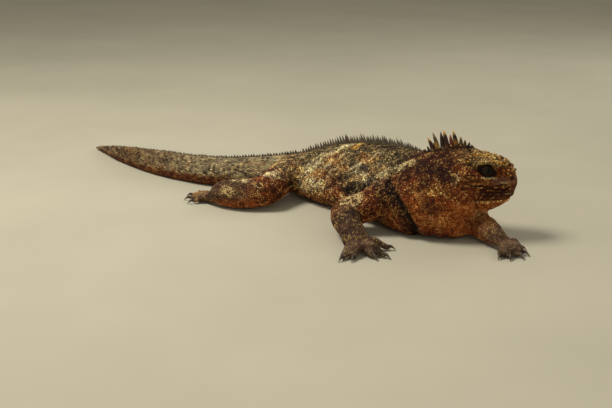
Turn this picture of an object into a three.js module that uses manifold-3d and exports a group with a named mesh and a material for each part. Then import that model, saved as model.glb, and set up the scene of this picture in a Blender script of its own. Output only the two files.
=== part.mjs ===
// Marine iguana, adult male, life size, in a low walking stance on a level floor.
// Millimetres, +Z up. +X runs along the trunk towards the head, -Y is the animal's right side.
// The animal is modelled whole from swept bodies, then parted with thin cuts at its joints.
import * as THREE from 'three';
import { mergeVertices, mergeGeometries } from 'three/addons/utils/BufferGeometryUtils.js';
import Module from 'manifold-3d';

const wasm = await Module();
wasm.setup();

// ---- driving dimensions -------------------------------------------------
const GAP = 0.35;             // width of every parting cut
const FLOOR = 0;              // the level that belly, tail and feet rest on
const SHIFT = [65.75, -38, 0]; // moves the body so that the origin is under the middle of its box
const EYE_R = 6.4;            // eyeball radius
const CLAW_LEN = 10.5;        // claw length of a middle toe

// Midline stations from tail tip to snout.
// x, y: plan position; top, bot: height of the flesh above and below; w: half width; mid: height of the widest place; nt, nb: fullness above and below
const BODY = [
  [-455, -3, 4.5, 0, 1.8, 1.8, 2.0, 2.0],
  [-448, -5, 7.5, -0.5, 2.6, 3, 2.0, 2.0],
  [-430, -9, 12, -1, 3.6, 5, 1.9, 2.2],
  [-400, -16, 18, -1, 5, 7.5, 1.8, 2.3],
  [-365, -24, 24.5, -1, 6.6, 10, 1.75, 2.3],
  [-325, -30, 30, -1, 8.2, 12, 1.7, 2.3],
  [-285, -34, 34.5, -1, 10, 13.5, 1.7, 2.3],
  [-245, -34, 37.5, -1, 12, 14.5, 1.7, 2.3],
  [-206, -29, 38.5, -1, 14.5, 16, 1.7, 2.3],
  [-168, -20, 40, -0.5, 17.5, 18, 1.75, 2.2],
  [-135, -6, 41.5, 0.5, 21.5, 20, 1.8, 2.1],
  [-103, 17, 44, 1, 26, 22, 1.85, 2.1],
  [-74, 37, 48.5, 0, 31, 24, 1.9, 2.1],
  [-48, 46, 54, -1, 40, 24, 1.9, 2.4],
  [-18, 49, 64, -1.5, 51, 25, 1.9, 2.75],
  [15, 50, 74.5, -1.5, 58, 28, 1.9, 2.75],
  [50, 48, 82, -1.5, 60.5, 32, 1.9, 2.6],
  [85, 42.5, 87.5, -1.5, 60.5, 36, 1.9, 2.5],
  [120, 33.5, 92, -1.5, 58.5, 38, 1.9, 2.7],
  [150, 22, 94.5, -1.5, 54.5, 39.5, 1.95, 2.9],
  [174, 15, 96.5, -1.5, 50.5, 41, 1.95, 2.9],
  [193, 15, 101, -0.5, 47, 45, 1.9, 2.7],
  [208, 19.5, 105.5, 4.5, 42.5, 51, 1.9, 2.3],
  [220, 27, 108, 14, 38, 58.5, 1.9, 2.1],
  [229, 33.7, 106.5, 22, 34, 62.5, 2.1, 2.0],
  [238, 40.2, 102.5, 27.5, 29.5, 64, 2.5, 2.1],
  [246.5, 46.7, 99.5, 31.5, 25.5, 65.5, 2.7, 2.05],
  [254, 52.5, 97.5, 35.5, 22.5, 67, 2.6, 1.95],
  [260.5, 57.5, 94, 40.5, 19.8, 69, 2.5, 1.85],
  [265.3, 61.1, 88, 47, 16.5, 70.5, 2.4, 1.8],
  [268.5, 63.5, 81, 54, 12.3, 71, 2.3, 1.8],
  [270.5, 65, 75, 61, 7.5, 70, 2.2, 1.9],
  [271.4, 65.7, 71, 66, 3.0, 69, 2.0, 2.0],
];

// Where the body is parted: distance of each cut along the midline, as the x of a point on it
const CUTS = { tail_5: -352, tail_4: -262, tail_3: -186, tail_2: -116, tail_1: -62, trunk: 168, neck: 217 };

// ---- helpers ------------------------------------------------------------
const V = (x, y, z) => new THREE.Vector3(x, y, z);
const lerp = (a, b, t) => a + (b - a) * t;
const clamp = (x, a, b) => Math.min(b, Math.max(a, x));
const bump = (x, c, w) => Math.exp(-(((x - c) / w) ** 2));

// Catmull-Rom through the columns of a table, so that every column runs smoothly.
function smooth(table, k, t) {
  const row = (i) => table[clamp(i, 0, table.length - 1)];
  const [p0, p1, p2, p3] = [row(k - 1), row(k), row(k + 1), row(k + 2)];
  return p1.map((_, j) => 0.5 * (2 * p1[j] + (p2[j] - p0[j]) * t + (2 * p0[j] - 5 * p1[j] + 4 * p2[j] - p3[j]) * t * t + (3 * p1[j] - p0[j] - 3 * p2[j] + p3[j]) * t ** 3));
}

const solidOf = (geometry) => {
  const g = geometry.clone();
  for (const name of Object.keys(g.attributes)) if (name !== 'position') g.deleteAttribute(name);
  const m = mergeVertices(g, 1e-4);
  const s = new wasm.Manifold(new wasm.Mesh({ numProp: 3, vertProperties: m.attributes.position.array, triVerts: new Uint32Array(m.index.array) }));
  if (s.volume() < 0) throw new Error('inside out');
  return s;
};
const geometryOf = (solid) => {
  const m = solid.getMesh();
  const g = new THREE.BufferGeometry();
  const v = new Float32Array(m.numVert * 3);
  for (let i = 0; i < m.numVert; i++) v.set(m.vertProperties.subarray(i * m.numProp, i * m.numProp + 3), i * 3);
  g.setAttribute('position', new THREE.BufferAttribute(v, 3));
  g.setIndex(new THREE.BufferAttribute(new Uint32Array(m.triVerts), 1));
  g.computeVertexNormals();
  return g;
};

// A closed body through rings of points; the first and last ring are capped with a fan, the last one to a point where it is given.
function ringsToSolid(rings, tip = null) {
  const n = rings[0].length, pos = [], idx = [];
  for (const r of rings) for (const p of r) pos.push(p.x, p.y, p.z);
  const mid = (r) => r.reduce((a, p) => a.add(p), V(0, 0, 0)).multiplyScalar(1 / n);
  const a = mid(rings[0]), b = tip ?? mid(rings.at(-1));
  const ia = pos.length / 3; pos.push(a.x, a.y, a.z);
  const ib = ia + 1; pos.push(b.x, b.y, b.z);
  for (let i = 0; i < rings.length - 1; i++)
    for (let j = 0; j < n; j++) {
      const p = i * n + j, q = i * n + ((j + 1) % n), r = p + n, s = q + n;
      if ((i + j) % 2) idx.push(p, q, s, p, s, r); else idx.push(p, q, r, q, s, r);
    }
  for (let j = 0; j < n; j++) {
    idx.push(ia, (j + 1) % n, j);
    idx.push(ib, (rings.length - 1) * n + j, (rings.length - 1) * n + ((j + 1) % n));
  }
  const build = (ix) => new THREE.BufferGeometry().setAttribute('position', new THREE.Float32BufferAttribute(pos, 3)).setIndex(ix);
  try { return solidOf(build(idx)); } catch { /* wound the other way */ }
  const flipped = [];
  for (let i = 0; i < idx.length; i += 3) flipped.push(idx[i], idx[i + 2], idx[i + 1]);
  return solidOf(build(flipped));
}

const power = (x, n) => Math.sign(x) * Math.abs(x) ** (2 / n);

// One ring of the body: a section upright on the midline, fuller or sharper above and below its widest place.
function bodyRing(row, side, n, grow = 0) {
  const [x, y, top, bot, w, mid, nt, nb] = row, ring = [];
  for (let j = 0; j < n; j++) {
    const a = (2 * Math.PI * j) / n + Math.PI / n * 0, c = Math.cos(a), s = Math.sin(a);
    const u = power(c, s >= 0 ? nt : nb) * (w + grow);
    const z = mid + power(s, s >= 0 ? nt : nb) * (s >= 0 ? top - mid + grow : mid - bot + grow);
    ring.push(V(x + side.x * u, y + side.y * u, z));
  }
  return ring;
}
function bodySpine(perSpan) {
  const rows = [];
  for (let k = 0; k < BODY.length - 1; k++) {
    const n = typeof perSpan === 'function' ? perSpan(k) : perSpan;
    for (let i = 0; i < n; i++) rows.push(smooth(BODY, k, i / n));
  }
  rows.push(BODY.at(-1));
  return rows.map((row, i) => {
    const a = rows[Math.max(0, i - 1)], b = rows[Math.min(rows.length - 1, i + 1)];
    const t = V(b[0] - a[0], b[1] - a[1], 0).normalize();
    return { row, tangent: t, side: V(t.y, -t.x, 0) };   // side points to the animal's right
  });
}

// A limb or toe: an oval tube along a smooth path. Each station is [x, y, z, r1, r2]; r1 is across, r2 is up and down.
function limb(stations, n = 12, perSpan = 2, grow = 0, pointed = false) {
  const rows = [];
  for (let k = 0; k < stations.length - 1; k++) for (let i = 0; i < perSpan; i++) rows.push(smooth(stations, k, i / perSpan));
  rows.push(stations.at(-1));
  const up = V(0, 0, 1);
  const rings = [];
  let across = null;
  rows.forEach((r, i) => {
    const a = rows[Math.max(0, i - 1)], b = rows[Math.min(rows.length - 1, i + 1)];
    const t = V(b[0] - a[0], b[1] - a[1], b[2] - a[2]).normalize();
    let x = V().crossVectors(t, up);
    if (x.length() < 0.25 && across) x = across.clone().addScaledVector(t, -across.dot(t));
    x.normalize();
    if (across && x.dot(across) < 0) x.negate();
    across = x.clone();
    const z = V().crossVectors(x, t).normalize();
    const ring = [];
    for (let j = 0; j < n; j++) {
      const w = (2 * Math.PI * j) / n;
      ring.push(V(r[0], r[1], r[2]).addScaledVector(x, Math.cos(w) * (r[3] + grow)).addScaledVector(z, Math.sin(w) * (r[4] + grow)));
    }
    rings.push(ring);
  });
  // round ends
  const cap = (ring, next, last) => {
    const c = ring.reduce((s, p) => s.add(p), V(0, 0, 0)).multiplyScalar(1 / n);
    const d = V().subVectors(c, next.reduce((s, p) => s.add(p), V(0, 0, 0)).multiplyScalar(1 / n)).normalize();
    const r = Math.min(last[3], last[4]) + grow;
    return ring.map((p) => V().lerpVectors(c, p, 0.62).addScaledVector(d, r * 0.72));
  };
  const first = cap(rings[0], rings[1], rows[0]), end = cap(rings.at(-1), rings.at(-2), rows.at(-1));
  if (pointed) {
    const tip = V(...stations.at(-1).slice(0, 3));
    if (grow) tip.addScaledVector(V().subVectors(tip, V(...stations.at(-2).slice(0, 3))).normalize(), grow * 3);
    return ringsToSolid(rings.slice(0, -1), tip);
  }
  return ringsToSolid([first, ...rings, end]);
}

function ball(centre, rx, ry = rx, rz = rx, yaw = 0, detail = [14, 10]) {
  const g = new THREE.SphereGeometry(1, ...detail);
  g.scale(rx, ry, rz);
  g.rotateZ(yaw);
  g.translate(...centre);
  return solidOf(g);
}
// A slab GAP thick, or a half space, square to a direction at a point.
function cutter(point, dir, radius, thickness, ahead = 0) {
  const g = new THREE.BoxGeometry(radius * 2, radius * 2, thickness);
  g.translate(0, 0, ahead);
  g.applyQuaternion(new THREE.Quaternion().setFromUnitVectors(V(0, 0, 1), dir.clone().normalize()));
  g.translate(point.x, point.y, point.z);
  return solidOf(g);
}
const union = (list) => list.reduce((a, b) => a.add(b));
const parts = (solid) => solid.decompose().sort((a, b) => b.volume() - a.volume());

// ---- the body and its crest --------------------------------------------
const SIDES = 14;             // facets round the body
const spine = bodySpine((k) => (k < 9 ? 1 : k < 20 ? 2 : 1));
let arc = 0;
spine.forEach((s, i) => {
  if (i) arc += Math.hypot(s.row[0] - spine[i - 1].row[0], s.row[1] - spine[i - 1].row[1]);
  s.arc = arc;
});
const at = (want) => {   // spine frame at a distance from the tail tip
  let i = spine.findIndex((s) => s.arc >= want);
  if (i < 1) i = i < 0 ? spine.length - 1 : 1;
  const a = spine[i - 1], b = spine[i], t = clamp((want - a.arc) / (b.arc - a.arc), 0, 1);
  return { row: a.row.map((v, j) => lerp(v, b.row[j], t)), tangent: a.tangent.clone().lerp(b.tangent, t).normalize(), side: a.side.clone().lerp(b.side, t).normalize() };
};
const arcOfX = (x) => {
  const i = spine.findIndex((s) => s.row[0] >= x);
  return lerp(spine[i - 1].arc, spine[i].arc, (x - spine[i - 1].row[0]) / (spine[i].row[0] - spine[i - 1].row[0]));
};
const body = ringsToSolid(spine.map((s) => bodyRing(s.row, s.side, SIDES)));
const bodyGrown = ringsToSolid(spine.map((s) => bodyRing(s.row, s.side, SIDES, GAP * 2)));

// Crest spines: height by distance from the tail tip, tall on the nape, with a gap at the shoulders and at the hips.
const HIP = arcOfX(-52), NAPE_GAP = arcOfX(172);
function crestHeight(s) {
  if (s < HIP - 4) return lerp(1.6, 5.2, clamp((s - 20) / (HIP - 60), 0, 1));
  if (s < HIP + 4) return 2.4;
  if (s < NAPE_GAP - 3) { const t = (s - HIP) / (NAPE_GAP - HIP); return lerp(4.5, 11.5, Math.sin(Math.PI * clamp(t, 0, 1)) ** 0.6); }
  return 3;
}
function crestPitch(s) { return s < HIP ? lerp(7.4, 8.2, s / HIP) : 5.2; }
// The tall spines of the nape: x of the root on the midline, height, lean back (share of the height), half length of the root
const NAPE = [
  [178.5, 4, 0.3, 2.2], [183.6, 7.5, 0.4, 2.6], [188.8, 17, 0.46, 3.4], [195.1, 21.3, 0.37, 3.2], [200.6, 21.3, 0.18, 2.8], [205.2, 22.3, 0.23, 2.8], [209.9, 16, 0.18, 2.6],
  [214.6, 19.8, 0.23, 2.8], [218.8, 12.8, 0.08, 2.4], [222.2, 9.8, 0.05, 2.1], [225.4, 7.2, -0.1, 2.0], [228.6, 4.2, 0, 1.9], [232.2, 2.6, 0, 1.8],
];
function spineCone(s, h = crestHeight(s), lean = 0.28, len = crestPitch(s) * 0.62) {
  const f = at(s), wide = clamp(h * 0.16, 1.0, 2.6), root = Math.min(4.5, 2 + h * 0.15);
  const c = V(f.row[0], f.row[1], f.row[2] - root);
  const corner = (a, b, z) => c.clone().addScaledVector(f.tangent, a).addScaledVector(f.side, b).add(V(0, 0, z));
  const base = [corner(-len, 0, 0), corner(0, wide, 0), corner(len, 0, 0), corner(0, -wide, 0)];
  if (s < NAPE_GAP) {                       // a plain four-sided point
    return ringsToSolid([base], corner(-h * lean, 0, root + h));
  }
  const hi = root + h * 0.62;
  const upper = [[-len * 0.6, 0], [0, wide * 0.6], [len * 0.6, 0], [0, -wide * 0.6]].map(([a, b]) => corner(a - h * 0.62 * lean, b, hi));
  return ringsToSolid([base, upper], corner(-h * lean * 1.12, 0, root + h));
}
const spines = [];
for (let s = 14; s < NAPE_GAP; s += crestPitch(s)) spines.push(spineCone(s));
for (const [x, h, lean, len] of NAPE) spines.push(spineCone(arcOfX(x), h, lean, len));
// The breast, a low mass between the forelegs under the throat
const BREAST = [[176, 5, 17.5, 33, 16], [200, 9, 16.5, 31, 15.7], [216, 15, 15.3, 27, 14.4], [228, 22, 14.5, 20, 13.2], [235, 26.5, 14, 12, 8.5], [239, 29, 14, 4, 3]];
let crested = union([body, limb(BREAST, 12, 1), ...spines]);

// ---- head: brow ridges, snout, eye sockets, nostrils, mouth -------------
const HEAD = [220, 27.2];      // where the head's own axis starts
const HEAD_YAW = Math.atan2(66.4 - HEAD[1], 272.4 - HEAD[0]);
const head = (fwd, right, z) => V(HEAD[0] + Math.cos(HEAD_YAW) * fwd + Math.sin(HEAD_YAW) * right, HEAD[1] + Math.sin(HEAD_YAW) * fwd - Math.cos(HEAD_YAW) * right, z);
const EYE = { fwd: 27, out: 21, z: 84.8 };
const jawBall = (side, grow) => ball(head(2, 30 * side, 57).toArray(), 17 + grow, 10 + grow, 17 + grow, HEAD_YAW, [8, 6]);
const jaws = jawBall(1, GAP * 2).add(jawBall(-1, GAP * 2));
const breastGrown = limb(BREAST, 12, 1, GAP * 2);
for (const side of [1, -1]) {
  crested = crested.add(limb([[...head(15, 23.5 * side, 94.5).toArray(), 4, 3.5], [...head(25, 23 * side, 95).toArray(), 5, 4], [...head(35, 19.5 * side, 91.5).toArray(), 4.5, 3.5], [...head(42, 15 * side, 86.5).toArray(), 3.5, 3]], 8, 1));
  crested = crested.add(jawBall(side, 0));      // jaw muscle
}
for (const side of [1, -1]) {
  crested = crested.subtract(ball(head(EYE.fwd, EYE.out * side, EYE.z).toArray(), EYE_R + GAP, EYE_R + GAP, EYE_R + GAP, HEAD_YAW, [10, 6]));
}

// ---- limbs ----------------------------------------------------------------
// Stations [x, y, z, across, up-down] down each limb, and the places where it is parted.
const LIMBS = {
  r_fore: {
    upper: [[162, 2, 50, 23, 27], [152, -18, 43, 21, 23], [132, -38, 32, 20, 20], [113, -52, 23.5, 18.5, 18.5]],
    lower: [[113, -52, 23.5, 18.5, 18.5], [124, -66, 22, 18, 17.5], [144, -80, 17.5, 17, 13.5], [158, -89, 13.5, 16.5, 10]],
    palm: [[158, -89, 13.5, 16.5, 10], [167, -95, 11.2, 18.5, 8.4], [176, -101, 8.6, 19, 7]],
    toes: [[180, -141], [191, -132], [209, -109], [216, -95], [200, -66]],
  },
  l_fore: {
    upper: [[178, 42, 44, 23, 25], [204, 44, 28, 21, 21], [228, 38.5, 19.2, 19, 17.5], [247, 32, 16.5, 16, 16]],
    lower: [[247, 32, 16.5, 16, 16], [261, 25.5, 16, 16, 15], [275, 20, 13, 13.8, 11.5], [286, 16.5, 10.5, 12, 8]],
    palm: [[286, 16.5, 10.5, 12, 8], [293, 14.3, 9, 13, 6.4], [300, 12, 8, 13.5, 5.4]],
    toes: [[303, -17], [315, -11], [324, 3], [322, 18], [308, 34]],
  },
  r_hind: {
    upper: [[-40, 24, 34, 26, 22], [-36, -4, 31, 24, 22], [-29, -29, 27, 21, 21], [-22, -50, 23.5, 19, 20]],
    lower: [[-22, -50, 23.5, 19, 20], [-38, -66, 21, 19.5, 20.5], [-57, -76, 19, 18.5, 19.5], [-74, -80.5, 16.3, 16, 16.5], [-85, -81, 11, 12.5, 10.5]],
    palm: [[-85, -81, 11, 12.5, 10.5], [-94, -79.8, 8.5, 12.5, 7], [-103, -78, 6.3, 13, 5.2]],
    toes: [[-112, -106], [-129, -97], [-140, -83], [-139, -65], [-122, -50]],
  },
  l_hind: {
    upper: [[-42, 66, 34, 26, 22], [-36, 88, 33, 24, 21], [-28, 106, 31, 20.5, 19], [-26, 118, 28, 18, 18]],
    lower: [[-26, 118, 28, 18, 18], [-40, 130, 22, 16, 15], [-56, 139, 14, 11.5, 10.5], [-66, 145, 10, 9.5, 8]],
    palm: [[-66, 145, 10, 9.5, 8], [-70, 154, 7.5, 11, 6], [-73, 163, 5.8, 12, 4.8]],
    toes: [[-48, 184], [-57, 204], [-72, 217], [-90, 214], [-102, 190]],
  },
};
const nodes = [];
const COLOURS = { skin: 0x5a4838, crest: 0x4a4038, claw: 0x1c1613, eye: 0x1a100a };
const add = (name, solid, colour, rough = 0.75) => nodes.push({ name, solid, colour, rough });

const above = (() => { const g = new THREE.BoxGeometry(1600, 1200, 400); g.translate(0, 0, FLOOR + 200); return solidOf(g); })();
const dirOf = (a, b) => V(b[0] - a[0], b[1] - a[1], b[2] - a[2]).normalize();

for (const [name, L] of Object.entries(LIMBS)) {
  const fore = name.endsWith('fore');
  const [su, sl, sp] = [L.upper, L.lower, L.palm];
  // toes: each an arched tube that rises from the palm and comes down to the floor, with a claw at its end
  const wrist = sp.at(-1), toes = [], claws = [];
  const ahead = dirOf(sp.at(-2), [wrist[0], wrist[1], sp.at(-2)[2]]);
  L.toes.forEach(([tx, ty], i) => {
    const outer = Math.abs(i - 2) / 2;                       // 0 middle toe, 1 outermost
    const d = dirOf(wrist, [tx, ty, wrist[2]]);
    const o = V(wrist[0], wrist[1], 0).addScaledVector(ahead, -5 - 3 * outer).addScaledVector(d, 4);
    const e = dirOf(o.toArray(), [tx, ty, 0]), reach = Math.hypot(tx - o.x, ty - o.y);
    const c = CLAW_LEN * (1 - 0.2 * outer), length = reach - c;
    const r = (fore ? 6.3 : 5.6) * (1 - 0.06 * outer), arch = fore ? 6 : 4;
    const P = (f, z, s) => [o.x + e.x * length * f, o.y + e.y * length * f, z, r * s, r * s * 0.92];
    toes.push(limb([P(0.05, wrist[2], 1.0), P(0.48, wrist[2] * 0.5 + arch, 0.98), P(1.0, 3.4, 0.76)], 5, 1));
    const claw = (grow) => {
      const S = (f, z, s) => [o.x + e.x * (length + f * c), o.y + e.y * (length + f * c), z, s, s * 1.15];
      return limb([S(-0.1, 4.2, 2.1), S(0.5, 4.0, 1.6), S(1.0, 0.1, 0.3)], 5, 1, grow, true);
    };
    claws.push([claw(0), claw(GAP)]);
  });
  const trim = (x) => x.subtract(bodyGrown).subtract(breastGrown).subtract(jaws).intersect(above);
  const upper = parts(trim(limb(su, 10, 1)))[0];
  let low = trim(union([limb([...sl, ...sp.slice(1)], 10, 1), ...toes])).subtract(limb(su, 10, 1, GAP * 1.6));
  claws.forEach(([, big]) => { low = low.subtract(big); });
  low = low.subtract(cutter(V(...sp[0].slice(0, 3)), dirOf(sl.at(-2), sp[1]), 19, GAP));   // the wrist or ankle
  const two = parts(low);
  const byDistance = (p, q) => { const b = p.boundingBox(); return Math.hypot((b.min[0] + b.max[0]) / 2 - q.x, (b.min[1] + b.max[1]) / 2 - q.y); };
  const far = V(...wrist.slice(0, 3)).addScaledVector(ahead, 15);
  const hand = two.slice(0, 2).reduce((a, b) => (byDistance(a, far) < byDistance(b, far) ? a : b));
  const mid = two.slice(0, 2).find((p) => p !== hand);
  const s = name[0];
  add((fore ? 'upper_arm_' : 'thigh_') + s, upper, COLOURS.skin);
  add((fore ? 'forearm_' : 'shank_') + s, mid, COLOURS.skin);
  add((fore ? 'hand_' : 'foot_') + s, hand, COLOURS.skin);
  claws.forEach(([claw], i) => add((fore ? 'claw_hand_' : 'claw_foot_') + s + '_' + (i + 1), claw.intersect(above), COLOURS.claw, 0.35));
}

// ---- parting the body -------------------------------------------------------
let trunkAll = crested.intersect(above);
for (const x of Object.values(CUTS)) {
  const f = at(arcOfX(x));
  trunkAll = trunkAll.subtract(cutter(V(f.row[0], f.row[1], 50), f.tangent, 90, GAP));
}
// the mouth: a thin curved cut from the snout to its corner, then down behind the jaw
{
  const line = [[68, 51.5], [58, 50.6], [48, 50.2], [36, 50.8], [26, 52], [21, 51], [19, 44], [18.5, 8]];
  const shape = new THREE.Shape();
  const off = line.map(([a, z], i) => {
    const p = line[Math.max(0, i - 1)], q = line[Math.min(line.length - 1, i + 1)];
    const d = Math.hypot(q[0] - p[0], q[1] - p[1]);
    return [(q[1] - p[1]) / d, -(q[0] - p[0]) / d];
  });
  line.forEach(([a, z], i) => (i ? shape.lineTo(a + off[i][0] * GAP / 2, z + off[i][1] * GAP / 2) : shape.moveTo(a + off[i][0] * GAP / 2, z + off[i][1] * GAP / 2)));
  for (let i = line.length - 1; i >= 0; i--) shape.lineTo(line[i][0] - off[i][0] * GAP / 2, line[i][1] - off[i][1] * GAP / 2);
  const g = new THREE.ExtrudeGeometry(shape, { depth: 100, bevelEnabled: false });
  g.translate(0, 0, -50);
  g.rotateX(Math.PI / 2);
  g.rotateZ(HEAD_YAW);
  g.translate(HEAD[0], HEAD[1], 0);
  trunkAll = trunkAll.subtract(solidOf(g));
}
const names = Object.entries(CUTS);
for (const piece of parts(trunkAll)) {
  if (piece.volume() < 60) continue;
  const b = piece.boundingBox(), cx = (b.min[0] + b.max[0]) / 2, cy = (b.min[1] + b.max[1]) / 2, cz = (b.min[2] + b.max[2]) / 2;
  let name = names.find(([, x]) => cx < x)?.[0] ?? (cz < 55 ? 'lower_jaw' : 'head');
  add(name, piece, COLOURS.skin);
}
for (const side of [1, -1]) add(side > 0 ? 'eye_r' : 'eye_l', ball(head(EYE.fwd, EYE.out * side, EYE.z).toArray(), EYE_R, EYE_R, EYE_R, HEAD_YAW, [10, 6]), COLOURS.eye, 0.15);

// ---- the scene graph ---------------------------------------------------------
const iguana = new THREE.Group();
iguana.position.set(...SHIFT);
for (const n of nodes) {
  const b = n.solid.boundingBox();
  const c = [(b.min[0] + b.max[0]) / 2, (b.min[1] + b.max[1]) / 2, (b.min[2] + b.max[2]) / 2].map((x) => Math.round(x));
  const g = geometryOf(n.solid);
  g.translate(-c[0], -c[1], -c[2]);
  const mesh = new THREE.Mesh(g, new THREE.MeshStandardMaterial({ color: n.colour, roughness: n.rough, metalness: 0 }));
  mesh.name = n.name;
  mesh.position.set(...c);
  iguana.add(mesh);
}
export default iguana;
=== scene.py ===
# Marine iguana, adult male, life size: one skin, scales as solid mesh over it, crest, claws and eyes.
# Lengths in the tables are millimetres in the animal's own design frame; OUT moves them to the part's frame in metres.
import bpy, bmesh, math
import numpy as np
from mathutils import Vector, Matrix
from mathutils.bvhtree import BVHTree


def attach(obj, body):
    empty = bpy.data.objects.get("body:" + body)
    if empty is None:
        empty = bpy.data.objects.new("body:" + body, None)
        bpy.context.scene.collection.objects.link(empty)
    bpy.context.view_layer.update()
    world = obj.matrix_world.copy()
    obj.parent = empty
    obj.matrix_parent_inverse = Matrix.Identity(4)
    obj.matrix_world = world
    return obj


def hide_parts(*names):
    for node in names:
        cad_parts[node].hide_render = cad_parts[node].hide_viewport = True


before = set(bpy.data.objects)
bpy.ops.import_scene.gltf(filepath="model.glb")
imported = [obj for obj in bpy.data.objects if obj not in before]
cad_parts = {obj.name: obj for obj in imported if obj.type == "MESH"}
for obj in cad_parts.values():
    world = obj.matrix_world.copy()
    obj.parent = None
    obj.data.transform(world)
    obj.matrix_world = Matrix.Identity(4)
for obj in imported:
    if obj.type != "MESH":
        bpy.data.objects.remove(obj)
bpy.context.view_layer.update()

# ---------------------------------------------------------------- tables
SHIFT = np.array([65.75, -38.0, 0.0])
COAT = 1.3          # how far the skin lies inside the solids: the depth of the scales
EYE_R = 6.4
# x, y, top, bottom, half width, height of the widest place, fullness above, fullness below
BODY = np.array([
  [-455, -3, 4.5, 0, 1.8, 1.8, 2.0, 2.0],
  [-448, -5, 7.5, -0.5, 2.6, 3, 2.0, 2.0],
  [-430, -9, 12, -1, 3.6, 5, 1.9, 2.2],
  [-400, -16, 18, -1, 5, 7.5, 1.8, 2.3],
  [-365, -24, 24.5, -1, 6.6, 10, 1.75, 2.3],
  [-325, -30, 30, -1, 8.2, 12, 1.7, 2.3],
  [-285, -34, 34.5, -1, 10, 13.5, 1.7, 2.3],
  [-245, -34, 37.5, -1, 12, 14.5, 1.7, 2.3],
  [-206, -29, 38.5, -1, 14.5, 16, 1.7, 2.3],
  [-168, -20, 40, -0.5, 17.5, 18, 1.75, 2.2],
  [-135, -6, 41.5, 0.5, 21.5, 20, 1.8, 2.1],
  [-103, 17, 44, 1, 26, 22, 1.85, 2.1],
  [-74, 37, 48.5, 0, 31, 24, 1.9, 2.1],
  [-48, 46, 54, -1, 40, 24, 1.9, 2.4],
  [-18, 49, 64, -1.5, 51, 25, 1.9, 2.75],
  [15, 50, 74.5, -1.5, 58, 28, 1.9, 2.75],
  [50, 48, 82, -1.5, 60.5, 32, 1.9, 2.6],
  [85, 42.5, 87.5, -1.5, 60.5, 36, 1.9, 2.5],
  [120, 33.5, 92, -1.5, 58.5, 38, 1.9, 2.7],
  [150, 22, 94.5, -1.5, 54.5, 39.5, 1.95, 2.9],
  [174, 15, 96.5, -1.5, 50.5, 41, 1.95, 2.9],
  [193, 15, 101, -0.5, 47, 45, 1.9, 2.7],
  [208, 19.5, 105.5, 4.5, 42.5, 51, 1.9, 2.3],
  [220, 27, 108, 14, 38, 58.5, 1.9, 2.1],
  [229, 33.7, 106.5, 22, 34, 62.5, 2.1, 2.0],
  [238, 40.2, 102.5, 27.5, 29.5, 64, 2.5, 2.1],
  [246.5, 46.7, 99.5, 31.5, 25.5, 65.5, 2.7, 2.05],
  [254, 52.5, 97.5, 35.5, 22.5, 67, 2.6, 1.95],
  [260.5, 57.5, 94, 40.5, 19.8, 69, 2.5, 1.85],
  [265.3, 61.1, 88, 47, 16.5, 70.5, 2.4, 1.8],
  [268.5, 63.5, 81, 54, 12.3, 71, 2.3, 1.8],
  [270.5, 65, 75, 61, 7.5, 70, 2.2, 1.9],
  [271.4, 65.7, 71, 66, 3.0, 69, 2.0, 2.0]], float)
HEAD0 = np.array([220.0, 27.2])
HEAD_YAW = math.atan2(66.4 - 27.2, 272.4 - 220.0)
EYE = (27.0, 21.0, 84.8)
EAR = (-10.6, 34.2, 76.8)
# limbs: stations x, y, z, radius across, radius up and down; the places of the claw tips
LIMBS = {
  "r_fore": dict(
    upper=[[162, 2, 50, 23, 27], [152, -18, 43, 21, 23], [132, -38, 32, 20, 20], [113, -52, 23.5, 18.5, 18.5]],
    lower=[[113, -52, 23.5, 18.5, 18.5], [124, -66, 22, 18, 17.5], [144, -80, 17.5, 17, 13.5], [158, -89, 13.5, 16.5, 10]],
    palm=[[158, -89, 13.5, 16.5, 10], [167, -95, 11.2, 18.5, 8.4], [176, -101, 8.6, 19, 7]],
    toes=[[180, -141], [191, -132], [209, -109], [216, -95], [200, -66]]),
  "l_fore": dict(
    upper=[[178, 42, 44, 23, 25], [204, 44, 28, 21, 21], [228, 38.5, 19.2, 19, 17.5], [247, 32, 16.5, 16, 16]],
    lower=[[247, 32, 16.5, 16, 16], [261, 25.5, 16, 16, 15], [275, 20, 13, 13.8, 11.5], [286, 16.5, 10.5, 12, 8]],
    palm=[[286, 16.5, 10.5, 12, 8], [293, 14.3, 9, 13, 6.4], [300, 12, 8, 13.5, 5.4]],
    toes=[[303, -17], [315, -11], [324, 3], [322, 18], [308, 34]]),
  "r_hind": dict(
    upper=[[-40, 24, 34, 26, 22], [-36, -4, 31, 24, 22], [-29, -29, 27, 21, 21], [-22, -50, 23.5, 19, 20]],
    lower=[[-22, -50, 23.5, 19, 20], [-38, -66, 21, 19.5, 20.5], [-57, -76, 19, 18.5, 19.5], [-74, -80.5, 16.3, 16, 16.5], [-85, -81, 11, 12.5, 10.5]],
    palm=[[-85, -81, 11, 12.5, 10.5], [-94, -79.8, 8.5, 12.5, 7], [-103, -78, 6.3, 13, 5.2]],
    toes=[[-112, -106], [-129, -97], [-140, -83], [-139, -65], [-122, -50]]),
  "l_hind": dict(
    upper=[[-42, 66, 34, 26, 22], [-36, 88, 33, 24, 21], [-28, 106, 31, 20.5, 19], [-26, 118, 28, 18, 18]],
    lower=[[-26, 118, 28, 18, 18], [-40, 130, 22, 16, 15], [-56, 139, 14, 11.5, 10.5], [-66, 145, 10, 9.5, 8]],
    palm=[[-66, 145, 10, 9.5, 8], [-70, 154, 7.5, 11, 6], [-73, 163, 5.8, 12, 4.8]],
    toes=[[-48, 184], [-57, 204], [-72, 217], [-90, 214], [-102, 190]]),
}
CLAW_LEN = 10.5
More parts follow.
